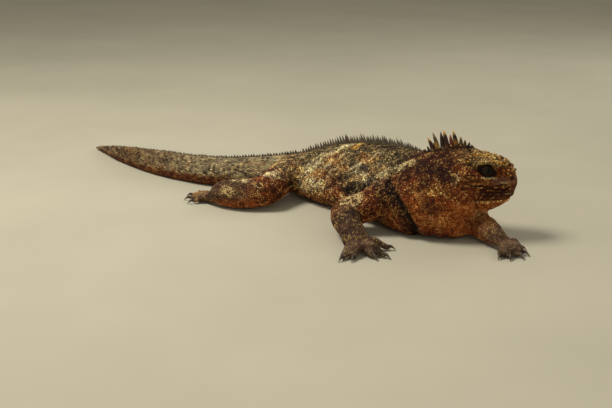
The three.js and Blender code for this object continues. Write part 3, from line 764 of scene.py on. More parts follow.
    # rest flat on the floor
    V[:, 2] = np.maximum(V[:, 2], 0.25)
    me.vertices.foreach_set("co", to_m(V).astype(np.float32).ravel())
    me.update()
    me.polygons.foreach_set("use_smooth", np.ones(len(me.polygons), bool))
    return V, tris_of(me), lidm


# ---------------------------------------------------------------- markings
def srgb(r, g, b):
    c = np.array([r, g, b], float) / 255
    return np.where(c <= 0.04045, c / 12.92, ((c + 0.055) / 1.055) ** 2.4)


PAL = dict(
    back=srgb(94, 80, 52), crestline=srgb(90, 72, 48), flank=srgb(190, 150, 96), band=srgb(242, 224, 172), low=srgb(172, 108, 60), under=srgb(138, 72, 36), ochre=srgb(184, 122, 56),
    tailtop=srgb(156, 142, 110), tail=srgb(124, 98, 68), tailstreak=srgb(158, 140, 108), taillow=srgb(120, 64, 32),
    neck=srgb(92, 42, 17), cheek=srgb(162, 82, 33), throat=srgb(178, 98, 42), crown=srgb(134, 90, 44), brow=srgb(204, 160, 92), muzzle=srgb(132, 88, 66), lip=srgb(106, 45, 22), lipred=srgb(134, 42, 22), lowlip=srgb(222, 154, 86),
    limb=srgb(138, 72, 31), speckled=srgb(152, 114, 72), hand=srgb(104, 76, 54), toe=srgb(108, 92, 74), rust=srgb(178, 90, 38), chest=srgb(122, 50, 22), hip=srgb(150, 124, 86), red=srgb(116, 46, 22),
    black=srgb(20, 9, 5), grey=srgb(98, 88, 74), pale=srgb(236, 210, 146), bone=srgb(236, 216, 164), amber=srgb(208, 152, 66), yellow=srgb(224, 162, 62), orbit=srgb(20, 9, 5), lidrim=srgb(50, 30, 18), ear=srgb(112, 78, 50))
STRAW = np.array([1.17, 1.03, 0.44])


def mix(a, b, w):
    w = np.clip(w, 0, 1)[:, None]
    return a * (1 - w) + b * w


def blob(P, c, r):
    """1 at a place, falling to 0 at r (a number or one for each axis)."""
    d = (P - np.asarray(c, float)) / np.asarray(r, float)
    return np.exp(-(d ** 2).sum(1) * 1.6)


def patch(s, z, c, r, rag):
    """A ragged patch at a distance along the body and a height, on both flanks."""
    d = np.sqrt(((s - c[0]) / r[0]) ** 2 + ((z - c[1]) / r[1]) ** 2)
    return smooth(1.25, 0.55, d + rag)


def markings(P, L):
    """Colour of the hide at each point; leaves in L how many scales are pale or dark there."""
    n = len(P)
    s, ang, wl, z = L["s"], L["ang"], L["wl"], P[:, 2]
    hf, hz, ar = L["hf"], L["hz"], np.abs(L["hr"])
    up = np.sin(ang)
    left = L["u"] < 0
    big, mid, fine, grit = fbm(P, 38, 101), fbm(P, 13, 102), fbm(P, 5.0, 103, 2), fbm(P, 3.0, 104, 1)
    rag = (fbm(P, 8.0, 105) - 0.5) * 1.5
    sm = s + left * 9.0                                   # the left side isn't a mirror image
    onb = smooth(HIP - 14, HIP + 16, s) * smooth(NAPE_GAP + 4, NAPE_GAP - 16, s)
    C = np.tile(PAL["flank"], (n, 1))
    C = mix(C, PAL["back"], smooth(0.25, 0.8, up + 0.5 * (mid - 0.5)))
    C = mix(C, PAL["crestline"], 0.8 * smooth(0.93, 0.99, up + 0.1 * (mid - 0.5)))
    C = mix(C, PAL["low"], smooth(0.05, -0.35, up + 0.8 * (big - 0.5)))
    C = mix(C, PAL["under"], smooth(-0.45, -0.75, up + 0.5 * (mid - 0.5)))
    # slanting light bands, ochre clouds and dark blotches
    slant = sm - 1.1 * z
    f1 = fbm(np.stack([slant, z * 0.30, left * 90.0], 1), (15, 12, 20), 111)
    C = mix(C, PAL["band"], smooth(0.52, 0.66, f1) * onb * 0.70 * smooth(-0.35, 0.05, up) * smooth(1.0, 0.85, up))
    C = mix(C, PAL["band"], onb * 0.85 * bell(slant, 430 + 7 * rag, 7.5) * smooth(14, 26, z))
    C = mix(C, PAL["band"], onb * 0.6 * bell(slant, 453 + 7 * rag, 5.0) * smooth(20, 34, z) * smooth(80, 66, z))
    f2 = fbm(np.stack([slant * 0.8, z * 0.6, left * 70.0], 1), (14, 14, 20), 117)
    C = mix(C, PAL["grey"] * 0.55, smooth(0.55, 0.70, f2) * onb * 0.75 * smooth(0.95, 0.6, up))
    C = mix(C, PAL["ochre"], smooth(0.54, 0.70, fbm(P, (16, 16, 9), 113)) * onb * 0.65 * smooth(0.9, 0.5, up))
    rag2 = rag * 1.3 + (fbm(P, 4.5, 106) - 0.5) * 1.4
    for c, r, w, k in (((597, 67), (20, 7), "grey", 0.45), ((631, 62), (18, 8), "black", 0.45), ((520, 56), (16, 4), "black", 0.30),
                       ((507, 45), (13, 7), "ochre", 0.8), ((588, 77), (26, 5), "ochre", 0.65), ((534, 62), (18, 4), "ochre", 0.5), ((560, 30), (30, 7), "rust", 0.7)):
        C = mix(C, PAL[w], k * patch(sm - 0.5 * (z - c[1]), z, c, r, rag2))
    st1 = fbm(np.stack([slant, z * 0.16, left * 80.0], 1), (5.5, 9, 20), 118, 2)
    C = mix(C, PAL["band"], 0.36 * smooth(0.55, 0.68, st1) * onb * smooth(14, 26, z) * smooth(1.0, 0.8, up) * smooth(660, 600, sm))
    C = mix(C, PAL["black"], 0.34 * smooth(0.44, 0.33, st1) * onb * smooth(0.95, 0.7, up))
    for c, r, w, k in (((549, 42), (30, 10), "red", 0.70), ((520, 66), (24, 7), "ochre", 0.50), ((486, 26), (26, 12), "band", 0.50), ((594, 46), (30, 10), "black", 0.84), ((620, 54), (20, 8), "black", 0.70), ((553, 50), (15, 5), "black", 0.60), ((578, 38), (14, 6), "black", 0.70), ((606, 66), (14, 4), "grey", 0.6), ((600, 62), (20, 3), "band", 0.5)):
        C = mix(C, PAL[w], k * patch(sm - 0.5 * (z - c[1]), z, c, r, rag2 * 0.75))
    C = mix(C, PAL["yellow"], 0.95 * patch(s, z, (538, 80), (9, 2.6), rag * 0.8) * ~left)
    # tail
    tl = smooth(HIP + 4, HIP - 34, s)
    tip = smooth(300, 170, s)
    tc = mix(np.tile(PAL["tailtop"], (n, 1)), PAL["tail"], tip)
    tc = mix(tc, PAL["taillow"], smooth(0.12, -0.42, up + 0.5 * (mid - 0.5)))
    stq = fbm(np.stack([s, z * 3.5, left * 60.0], 1), (52, 13, 20), 121)
    tc = mix(tc, PAL["tailstreak"], 0.75 * smooth(0.5, 0.66, stq) * smooth(-0.35, 0.0, up))
    tc = mix(tc, PAL["black"], 0.30 * smooth(0.54, 0.74, fbm(np.stack([s, z * 2.6, left * 60.0], 1), (44, 12, 20), 123)))
    tc = mix(tc, PAL["black"], 0.20 * smooth(230, 60, s))
    tc = mix(tc, PAL["ochre"], 0.22 * smooth(0.55, 0.7, fbm(P, (14, 14, 10), 124)))
    C = mix(C, tc, tl)
    # neck, cheek and throat
    nk = smooth(NAPE_GAP - 16, NAPE_GAP + 8, s + 12 * (mid - 0.5))
    nc = mix(np.tile(PAL["neck"], (n, 1)), PAL["cheek"], smooth(80, 60, z + 14 * (mid - 0.5)))
    nc = mix(nc, PAL["throat"], smooth(58, 38, z + 22 * (mid - 0.5)))
    nc = mix(nc, PAL["black"], 0.55 * smooth(0.50, 0.68, fbm(P, 11, 131)) * smooth(36, 60, z))
    nc = mix(nc, PAL["ochre"], 0.45 * smooth(0.54, 0.70, fbm(P, 9, 132)))
    nc = mix(nc, PAL["chest"], smooth(22, 8, z))
    for c, r, w, k in (((684, 44), (9, 11), "black", 0.55), ((687, 62), (9, 6), "ochre", 0.75), ((676, 86), (12, 7), "black", 0.5)):
        nc = mix(nc, PAL[w], k * patch(sm, z, c, r, rag))
    C = mix(C, nc, nk)
    # head
    hd = smooth(-18, 2, hf) * (s > S_HEAD - 40)
    hc = np.tile(PAL["cheek"], (n, 1))
    hc = mix(hc, PAL["black"], 0.50 * smooth(0.50, 0.66, fbm(P, 8, 133)) * smooth(46, 56, hz))
    hc = mix(hc, PAL["throat"], smooth(54, 44, hz + 6 * (mid - 0.5)))
    hc = mix(hc, PAL["crown"], smooth(86, 95, hz + 5 * (mid - 0.5)))
    hc = mix(hc, PAL["brow"], smooth(10, 24, hf) * smooth(89, 95, hz + 3 * (mid - 0.5)))
    crown = smooth(84, 92, hz + 3 * (mid - 0.5)) * smooth(-4, 12, hf + 8 * (mid - 0.5))
    hc = mix(hc, PAL["hip"], crown * smooth(0.46, 0.60, fbm(P, 6.5, 137, 2)) * 0.75)
    hc = mix(hc, PAL["yellow"], crown * smooth(0.60, 0.70, fbm(P, 5.0, 138, 2)) * 0.7 * smooth(4, 20, hf))
    hc = mix(hc, PAL["black"], crown * smooth(0.56, 0.68, fbm(P, 5.5, 139, 2)) * 0.6)
    hc = mix(hc, PAL["ochre"], 0.6 * smooth(49, 55, hf) * smooth(74, 78, hz) * smooth(92, 86, hz))
    front = smooth(26, 38, hf)
    hc = mix(hc, PAL["muzzle"], front * smooth(66.5, 69, hz) * smooth(80, 76, hz) * 0.85)
    hc = mix(hc, PAL["lip"], smooth(16, 24, hf) * smooth(49.5, 51.5, hz) * smooth(68, 64.5, hz + rag * 1.5) * 0.9)
    hc = mix(hc, PAL["lipred"], 0.7 * blob(P, head_point(25, 28, 58.5), 6) + 0.7 * blob(P, head_point(25, -28, 58.5), 6) + 0.5 * blob(P, head_point(44, 20, 56), 5))
    hc = mix(hc, PAL["grey"], 0.45 * bell(hz, 56.5 + rag, 1.5) * smooth(30, 38, hf))
    hc = mix(hc, PAL["lowlip"], smooth(12, 20, hf) * bell(hz, mouth_line(hf) - 2.6, 2.2) * 0.95)
    hc = mix(hc, PAL["throat"], 0.6 * smooth(12, 20, hf) * smooth(46, 43, hz))
    crease_shade_mask = np.zeros(n)
    for z0, dep in WRINKLES:
        crease_shade_mask = np.maximum(crease_shade_mask, bell(hz, wrinkle(z0, hf), 0.85) * smooth(-4, 4, hf) * smooth(25, 18, hf))
    for z0, fa, fb, dep, turn in LIP_FOLDS:
        crease_shade_mask = np.maximum(crease_shade_mask, bell(hz, lip_fold(z0, turn, hf), 1.0) * smooth(fa - 3, fa + 5, hf) * smooth(fb + 3, fb - 5, hf))
    crease_shade_mask = np.maximum(crease_shade_mask, 0.8 * bell(hf, 15.5 - 0.30 * (hz - 50), 1.1) * smooth(36, 42, hz) * smooth(60, 54, hz))
    hc = mix(hc, PAL["ochre"], 0.35 * smooth(0.54, 0.66, fbm(P, (5, 5, 2.4), 136, 2)) * smooth(16, 24, hf) * smooth(52, 56, hz) * smooth(70, 66, hz))
    # painted shade: the wrinkles, lip folds and jaw corner fold are painted near black along their creases
    hc = mix(hc, PAL["black"], 0.88 * crease_shade_mask * (ar > 8))
    # painted shade along the slit of the mouth
    hc = mix(hc, PAL["black"], 0.97 * bell(hz, mouth_line(hf), 0.95) * smooth(15, 19, hf))
    hc = mix(hc, PAL["bone"], 0.95 * bell(hz, crescent(hf), 1.0) * smooth(19, 24, hf) * smooth(40, 34, hf) * (ar > 8))
    hc = mix(hc, PAL["bone"], 0.6 * bell(hz, 71.5 - 0.15 * (hf - 46), 1.0) * smooth(41, 44, hf) * smooth(54, 50, hf) * (ar > 8))
    hc = mix(hc, PAL["ochre"], 0.35 * patch(hf, hz, (12, 74), (13, 4.5), rag) * (ar > 12))
    hc = mix(hc, mix(np.tile(PAL["bone"], (n, 1)), PAL["ochre"], 0.4 + 0.6 * smooth(0.4, 0.6, fine)), 0.75 * patch(hf, hz, (0, 84), (5, 7), rag * 1.6) * (ar > 20) * smooth(0.42, 0.55, grit))
    C = mix(C, hc, hd)
    L["groove"] = crease_shade_mask * (ar > 8) * hd
    L["rough"] = np.maximum(nk, hd) * (1 - 0.6 * smooth(60, 44, z) * (hf < 30))
    # near black round the eyes and in the nostrils: the lids' own dark skin, and painted shade in the sockets under the
    # brow and in the nostril holes
    dark = np.zeros(n)
    for q in (1, -1):
        c, a, b, o = eye_frame(q)
        d = P - c
        A, B, O = d @ a, d @ b, d @ o
        ca, sa = math.cos(-0.22), math.sin(-0.22)
        oa, ob_ = A * ca + B * sa, -A * sa + B * ca
        e = np.sqrt((oa / 13.5) ** 2 + ((ob_ - 0.1) / 7.3) ** 2) + rag * 0.16
        dark = np.maximum(dark, smooth(1.12, 0.86, e) * (O > -5) * (np.sign(L["hr"]) == q))
        no = head_point(56.4, 15.2 * q, 75.8)
        dark = np.maximum(dark, 0.95 * smooth(3.6, 2.4, np.linalg.norm(P - no, axis=1)))
        ec = head_point(EAR[0], EAR[1] * q, EAR[2])
        de = np.linalg.norm((P - ec) * np.array([1, 1, 0.75]), axis=1)
        C = mix(C, PAL["ear"], smooth(4.4, 3.4, de))
        C = mix(C, PAL["bone"], 0.40 * bell(de, 5.2, 0.9) * (np.sign(L["hr"]) == q) * smooth(-14, -6, hf))
    # the sockets and nostrils painted near black: dark lid skin plus painted shade
    C = mix(C, PAL["orbit"], 0.96 * dark)
    # limbs
    dn = smooth(6, 34, L["ls"] - L["elbow"])
    lc = mix(np.tile(PAL["limb"], (n, 1)), PAL["hand"], dn)
    lc = mix(lc, PAL["toe"], (L["toe"] >= 0) * 0.8)
    hipm = (L["limb"] >= 2) * smooth(64, 40, L["ls"] + 22 * (mid - 0.5)) * smooth(-0.35, 0.25, L["lz"] / 20.0 + 0.4 * (fine - 0.5))
    lc = mix(lc, PAL["rust"], 0.7 * smooth(0.0, -0.7, L["lz"] / 14.0 + 0.6 * (mid - 0.5)) * (L["toe"] < 0))
    lc = mix(lc, PAL["black"], 0.55 * smooth(0.52, 0.68, fbm(P, 10, 141)))
    lc = mix(lc, PAL["black"], 0.55 * (L["toe"] >= 0) * smooth(-0.5, -2.2, L["lz"]))
    lc = mix(lc, mix(np.tile(PAL["hip"], (n, 1)), PAL["ochre"], smooth(0.5, 0.7, fine) * 0.6), hipm * 0.9)
    C = mix(C, lc, wl)
    # black of the shoulder, the armpit and the front of the thighs: partly dark skin, partly painted shade in the folds
    fd = fold_distance(P)
    fx = np.interp(z, [8, 17, 27, 38, 47, 54, 64], [195, 196, 192, 186, 178, 168, 158])
    behind = smooth(fx + 3, fx - 2, P[:, 0])
    sh = smooth(27, 11, fd + rag * 5.0) * behind * smooth(66, 54, z) * (1 - L["head"])
    sh = np.maximum(sh, smooth(0.3, 0.8, blob(P, (-12, -13, 28), (8, 15, 20)) + 0.7 * blob(P, (-12, 112, 30), (10, 14, 20)) + 0.2 * rag))
    # painted shade, darkest along the crease between the shoulder and the neck
    fold_painted_shade = smooth(10.5, 4.0, fd + rag * 4.0 + 3.5 * (1 - behind)) * (1 - L["head"])
    C = mix(C, PAL["black"], sh * 0.80)
    C = mix(C, PAL["black"], fold_painted_shade * 0.92)
    # pale speckled patches: shoulder, forearm, thigh and shank, with the left side finished the same way; on the tops
    # of the elbows and forearms the pale speckles are partly a painted highlight
    pale = 1.0 * smooth(0.35, 0.8, np.exp(-((((P[:, 0] - 169) * 0.87 + (z - 83) * 0.49) / 17) ** 2 + ((-(P[:, 0] - 169) * 0.49 + (z - 83) * 0.87) / 5.5) ** 2)) + rag * 0.4) * (P[:, 1] < 12)
    arm_pale_and_highlight = blob(P, (125, -54, 42), (20, 22, 18)) + 0.7 * blob(P, (116, -66, 24), (14, 14, 16)) + 0.7 * blob(P, (137, -80, 26), (14, 12, 10)) + 0.9 * blob(P, (244, 30, 32), (18, 16, 12))
    leg = blob(P, (-50, -92, 26), (26, 16, 12)) + 0.75 * blob(P, (-22, -66, 32), (16, 14, 12)) + 0.9 * blob(P, (-44, 134, 30), (16, 14, 12))
    thigh = blob(P, (-20, -42, 45), (18, 19, 8)) + 1.05 * blob(P, (-52, -72, 39), (24, 13, 5)) + 0.5 * blob(P, (-14, -30, 36), (6, 8, 8)) + blob(P, (-30, 104, 48), (14, 20, 10))
    thigh = smooth(0.25, 0.7, thigh + 0.3 * rag)
    arm_pale_and_highlight = smooth(0.30, 0.85, arm_pale_and_highlight + 0.3 * rag)
    leg = smooth(0.30, 0.85, leg + 0.3 * rag)
    C = mix(C, PAL["bone"], thigh * 0.86 * smooth(0.36, 0.50, 0.5 * fine + 0.5 * grit))
    C = mix(C, PAL["bone"], np.clip(pale, 0, 1) * 0.85 * smooth(0.34, 0.50, fine))
    C = mix(C, PAL["bone"], (0.40 * arm_pale_and_highlight + 0.20 * leg) * smooth(0.44, 0.58, 0.4 * fine + 0.6 * grit))
    C = mix(C, PAL["speckled"], np.clip(arm_pale_and_highlight + leg + 0.6 * blob(P, (270, 20, 24), (34, 16, 14)), 0, 1) * 0.62)
    rim = blob(P, (-40, -84, 35), (22, 9, 4.5)) * 0.40
    C = mix(C, PAL["black"], rim)
    L["blond"] = np.clip(arm_pale_and_highlight + leg + thigh + pale + 0.25 * onb, 0, 1)
    L["light"] = np.clip(0.10 + 0.95 * arm_pale_and_highlight + 0.85 * leg + 0.7 * thigh + 0.7 * pale + 0.5 * blob(P, (262, 22, 28), (26, 16, 12)) + 0.42 * sh * (1 - fold_painted_shade) + 0.20 * hd * smooth(100, 90, hz) * (1 - dark) + 0.15 * nk + 0.12 * onb, 0, 0.95) * (1 - 0.9 * dark) * (1 - 0.6 * smooth(-0.1, -0.6, up) * (wl < 0.5))
    L["light"] = np.clip(L["light"] + 0.45 * blob(P, (2, -8, 24), (30, 22, 16)) * onb, 0, 0.95) * (1 - 0.9 * fold_painted_shade)
    L["dark"] = 0.20 + 0.26 * nk + 0.16 * wl
    L["calm"] = np.clip(0.85 * front * hd * smooth(66.5, 69, hz) * smooth(80, 76, hz) + (L["toe"] >= 0) * 0.35 + tl * 0.66 + dark * 0.7 + 0.5 * smooth(54, 40, hz) * hd + 0.35 * nk * smooth(62, 48, z), 0, 1)
    C = C * (0.70 + 0.60 * mid)[:, None] * (0.86 + 0.28 * fine)[:, None]
    return C


def scale_tones(C, P, L, rng):
    """Gives each scale its own tone: a broad spread from almost black to pale, gathered in small clusters."""
    n = len(P)
    g = rng.standard_normal(n)
    clump = ((fbm(P, 3.6, 151, 2) - 0.5) * 7.0 + (fbm(P, 8.0, 152, 2) - 0.5) * 3.0) * (1 - 0.25 * L["rough"])
    g = np.clip(0.66 * g + 0.66 * clump, -2.4, 2.4)
    sig = (0.76 + 0.20 * L["light"] + 0.22 * L["rough"]) * (1 - 0.62 * L["calm"])
    bright = sig * g - 0.40 * sig ** 2
    D = C * np.exp(bright)[:, None]
    # light scales are drier and straw coloured, dark ones a deeper red brown
    lum = D @ np.array([0.3, 0.6, 0.1])
    D = mix(D, lum[:, None] * STRAW, (0.55 + 0.22 * L["rough"]) * smooth(0.1, 1.3, g) * (1 - 0.5 * L["calm"]))
    D = D * (1 - np.array([0.0, 0.22, 0.34]) * smooth(0.0, -1.3, g)[:, None])
    # where the hide is speckled the palest stand out
    v = rng.random(n)
    k = smooth(0.75 - 1.10 * L["light"], 1.35 - 0.90 * L["light"], g) * (1 - 0.7 * L["calm"])
    tint = mix(np.tile(PAL["amber"], (n, 1)), PAL["pale"], L["blond"] + 0.3 * (v - 0.5))
    D = mix(D, np.maximum(tint * (0.42 + 0.26 * v + 0.34 * L["blond"])[:, None], (lum * 1.15)[:, None] * tint), k * (0.35 + 0.60 * L["light"]))
    D = mix(D, PAL["black"], smooth(-0.9, -1.5, g + 1.2 * (L["dark"] - 0.3)) * 0.7 * (1 - 0.6 * L["calm"]))
    return D


# ---------------------------------------------------------------- points spread evenly over the skin
def near_pairs(P, cell, limit=None):
    K = np.floor(P / cell).astype(np.int64)
    K -= K.min(0) - 1
    D = K.max(0) + 2
    key = (K[:, 0] * D[1] + K[:, 1]) * D[2] + K[:, 2]
    order = np.argsort(key, kind="stable")
    ks = key[order]
    I, J = [], []
    for dx in (0, 1):
        for dy in (-1, 0, 1):
            for dz in (-1, 0, 1):
                if dx == 0 and (dy < 0 or (dy == 0 and dz < 0)):
                    continue
                nk = ks + (dx * D[1] + dy) * D[2] + dz
                lo = np.searchsorted(ks, nk, "left")
                hi = np.searchsorted(ks, nk, "right")
                if dx == dy == dz == 0:
                    lo = np.arange(len(ks)) + 1
                cnt = np.maximum(hi - lo, 0)
                tot = cnt.sum()
                if not tot:
                    continue
                i = np.repeat(np.arange(len(ks)), cnt)
                j = np.arange(tot) - np.repeat(np.cumsum(cnt) - cnt, cnt) + np.repeat(lo, cnt)
                a, b = order[i], order[j]
                d = ((P[a] - P[b]) ** 2).sum(1)
                m = d < cell * cell if limit is None else d < (0.5 * (limit[a] + limit[b])) ** 2
                I.append(a[m])
                J.append(b[m])
    return np.concatenate(I), np.concatenate(J)


def scatter(V, T, R, keep, seed, over=3.2):
    """Points on triangles T of V, R apart (one value for each vertex), where keep is true."""
    rng = np.random.default_rng(seed)
    T = T[keep[T].all(1)]
    p = V[T]
    area = 0.5 * np.linalg.norm(np.cross(p[:, 1] - p[:, 0], p[:, 2] - p[:, 0]), axis=1)
    r = R[T].mean(1)
    w = area / (0.72 * r * r)
    cum = np.cumsum(w)
    M = int(cum[-1] * over)
    pick = np.searchsorted(cum, (np.arange(M) + rng.random(M)) / M * cum[-1]).clip(0, len(T) - 1)
    a, b = rng.random(M), rng.random(M)
    f = a + b > 1
    a[f], b[f] = 1 - a[f], 1 - b[f]
    P = p[pick, 0] + a[:, None] * (p[pick, 1] - p[pick, 0]) + b[:, None] * (p[pick, 2] - p[pick, 0])
    rr = r[pick]
    lim = rr * 0.86
    I, J = near_pairs(P, lim.max(), lim)
    prio = rng.random(M)
    alive = np.ones(M, bool)
    won = np.zeros(M, bool)
    while alive.any():
        lose = np.zeros(M, bool)
        q = prio[I] < prio[J]
        lose[I[q]] = True
        lose[J[~q]] = True
        win = alive & ~lose
        won |= win
        kill = win.copy()
        kill[I[win[J]]] = True
        kill[J[win[I]]] = True
        alive &= ~kill
        m = alive[I] & alive[J]
        I, J = I[m], J[m]
    return P[won], rr[won]


def settle(P, r, bvh, times):
    """Evens the points out along the surface."""
    for _ in range(times):
        lim = r * 1.5
        I, J = near_pairs(P, lim.max(), lim)
        d = P[I] - P[J]
        L = np.maximum(np.linalg.norm(d, axis=1), 1e-6)
        want = 0.5 * (r[I] + r[J]) * 1.06
        push = np.clip(want - L, 0, None) * 0.28
        mv = d / L[:, None] * push[:, None]
        S = np.zeros_like(P)
        for c in range(3):
            S[:, c] = np.bincount(I, mv[:, c], len(P)) - np.bincount(J, mv[:, c], len(P))
        P = P + S
        P = np.array([bvh.find_nearest(p)[0][:] for p in P])
    return P


def stick(P, bvh, T, N):
    """Nearest place on the skin, the index of the triangle there and its three corners."""
    Q, M = np.empty_like(P), np.empty_like(P)
    idx = np.empty(len(P), int)
    for i, p in enumerate(P):
        q, n, k, d = bvh.find_nearest(p)
        Q[i] = q
        idx[i] = k
    tv = T[idx]
    return Q, idx, tv


# template scales: rings of points (x along the lie, y across, height), as (radius, height, shift back)
def template(sides, rings, keel=0.0):
    V, F = [], []
    a = 2 * np.pi * (np.arange(sides) + 0.5) / sides
    for k, (r, h, sh) in enumerate(rings):
        for t in a:
            V.append((r * math.cos(t) + sh, r * math.sin(t), h))
    V.append((rings[-1][2] + 0.02, 0, rings[-1][1] + 0.12 + keel))
    for k in range(len(rings) - 1):
        for j in range(sides):
            p, q = k * sides + j, k * sides + (j + 1) % sides
            F += [(p, q, q + sides), (p, q + sides, p + sides)]
    b = (len(rings) - 1) * sides
    for j in range(sides):
        F.append((b + j, b + (j + 1) % sides, b + sides))
    return np.array(V), np.array(F)


def keel_template():
    """A long scale with a ridge that rises to the back."""
    base = [(-1, -0.78), (0, -1), (1.02, -0.72), (1.22, 0), (1.02, 0.72), (0, 1), (-1, 0.78), (-1.08, 0)]
    V = [(x, y, -0.45) for x, y in base] + [(x * 0.84 + 0.03, y * 0.80, 0.36) for x, y in base] + [(-0.62, 0, 0.52), (0.1, 0, 0.86), (0.98, 0, 1.12)]
    F = []
    for j in range(8):
        q = (j + 1) % 8
        F += [(j, q, 8 + q), (j, 8 + q, 8 + j)]
    F += [(15, 8, 16), (8, 9, 17), (8, 17, 16), (9, 10, 17), (10, 18, 17), (10, 11, 18), (11, 12, 18), (12, 17, 18), (12, 13, 17), (13, 14, 17), (14, 16, 17), (14, 15, 16)]
    return np.array(V), np.array(F)


KEEL = keel_template()
GRAIN = template(6, [(1.0, -0.30, 0.0), (0.80, 0.55, 0.06)])
CONE = template(7, [(1.0, -0.35, 0.0), (0.84, 0.30, 0.05), (0.46, 0.82, 0.18)])


def scale_mesh(name, P, N, F, size, tall, wide, long_, painted_shade_and_highlight, C, uv, form, material):
    """Joins one scale for each point into a mesh: N normals, F lie, size half widths, C colours, uv places of the roots on the bake map."""
    tv, tf = form
    n, k = len(P), len(tv)
    B = unit(np.cross(N, F))
    F = unit(np.cross(B, N))
    X = tv[None, :, 0] * (size * long_)[:, None]
    Y = tv[None, :, 1] * (size * wide)[:, None]
    Z = tv[None, :, 2] * tall[:, None]
    W = P[:, None] + F[:, None] * X[..., None] + B[:, None] * Y[..., None] + N[:, None] * Z[..., None]
    W[..., 2] = np.maximum(W[..., 2], 0.05)
    faces = (tf[None] + (np.arange(n) * k)[:, None, None]).reshape(-1, 3)
    ob = fast_mesh(name, to_m(W.reshape(-1, 3)), faces)
    # each scale is painted dark at its base and light at its top: painted shade in the gaps between scales and a
    # painted highlight on each dome
    hgt = (tv[:, 2] - tv[:, 2].min()) / (tv[:, 2].max() - tv[:, 2].min())
    val = painted_shade_and_highlight[0] + (painted_shade_and_highlight[1] - painted_shade_and_highlight[0]) * hgt
    col = C[:, None] * val[None, :, None]
    set_colour(ob.data, col.reshape(-1, 3))
    layer = ob.data.uv_layers.new(name="OFBake", do_init=False)
    q = uv[:, None] + tv[None, :, :2] * 0.00135
    layer.uv.foreach_set("vector", q.reshape(-1, 2)[faces.ravel()].astype(np.float32).ravel())
    ob.data.materials.append(material)
    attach(ob, "root")
    return ob


# ---------------------------------------------------------------- materials
def new_material(name):
    m = bpy.data.materials.new(name)
    m.use_nodes = True
    nt = m.node_tree
    for nd in list(nt.nodes):
        nt.nodes.remove(nd)
    o = nt.nodes.new("ShaderNodeOutputMaterial")
    b = nt.nodes.new("ShaderNodeBsdfPrincipled")
    nt.links.new(b.outputs["BSDF"], o.inputs["Surface"])
    return m, nt, b


def noise_node(nt, scale, detail=3.0, rough=0.6):
    tc = nt.nodes.new("ShaderNodeTexCoord")
    n = nt.nodes.new("ShaderNodeTexNoise")
    n.inputs["Scale"].default_value = scale
    n.inputs["Detail"].default_value = detail
    n.inputs["Roughness"].default_value = rough
    nt.links.new(tc.outputs["Object"], n.inputs["Vector"])
    return n


def ramp(nt, src, stops):
    r = nt.nodes.new("ShaderNodeValToRGB")
    els = r.color_ramp.elements
    while len(els) < len(stops):
        els.new(0.5)
    for e, (p, c) in zip(els, stops):
        e.position = p
        e.color = (c, c, c, 1) if np.isscalar(c) else (*c, 1)
    nt.links.new(src, r.inputs["Fac"])
    return r


def hide_material(name, bump_scale, bump_dist, rough_lo, rough_hi, spec):
    m, nt, b = new_material(name)
    at_ = nt.nodes.new("ShaderNodeAttribute")
    at_.attribute_name = "tint"
    fine = noise_node(nt, 900.0, 3.0)
    coarse = noise_node(nt, 70.0, 4.0)
    mul = nt.nodes.new("ShaderNodeMix")
    mul.data_type = "RGBA"
    mul.blend_type = "MULTIPLY"
    mul.inputs["Factor"].default_value = 1.0
    r1 = ramp(nt, fine.outputs["Fac"], [(0.25, 0.72), (0.75, 1.22)])
    nt.links.new(at_.outputs["Color"], mul.inputs[6])
    nt.links.new(r1.outputs["Color"], mul.inputs[7])
    mul2 = nt.nodes.new("ShaderNodeMix")
    mul2.data_type = "RGBA"
    mul2.blend_type = "MULTIPLY"
    mul2.inputs["Factor"].default_value = 1.0
    r2 = ramp(nt, coarse.outputs["Fac"], [(0.3, (0.84, 0.82, 0.80)), (0.7, (1.1, 1.08, 1.04))])
    nt.links.new(mul.outputs[2], mul2.inputs[6])
    nt.links.new(r2.outputs["Color"], mul2.inputs[7])
    nt.links.new(mul2.outputs[2], b.inputs["Base Color"])
    rr = ramp(nt, coarse.outputs["Fac"], [(0.3, rough_lo), (0.7, rough_hi)])
    nt.links.new(rr.outputs["Color"], b.inputs["Roughness"])
    bp = nt.nodes.new("ShaderNodeBump")
    bn = noise_node(nt, bump_scale, 4.0, 0.65)
    bp.inputs["Strength"].default_value = 0.55
    bp.inputs["Distance"].default_value = bump_dist
    nt.links.new(bn.outputs["Fac"], bp.inputs["Height"])
    nt.links.new(bp.outputs["Normal"], b.inputs["Normal"])
    b.inputs["Specular IOR Level"].default_value = spec
    return m


MAT_SKIN = hide_material("iguana_skin", 1100.0, 0.0005, 0.68, 0.88, 0.12)
MAT_SCALE = hide_material("iguana_scales", 1500.0, 0.00025, 0.58, 0.80, 0.16)
MAT_CREST = hide_material("iguana_crest", 1300.0, 0.0003, 0.50, 0.72, 0.20)
MAT_CLAW = hide_material("iguana_claws", 700.0, 0.0003, 0.26, 0.56, 0.3)


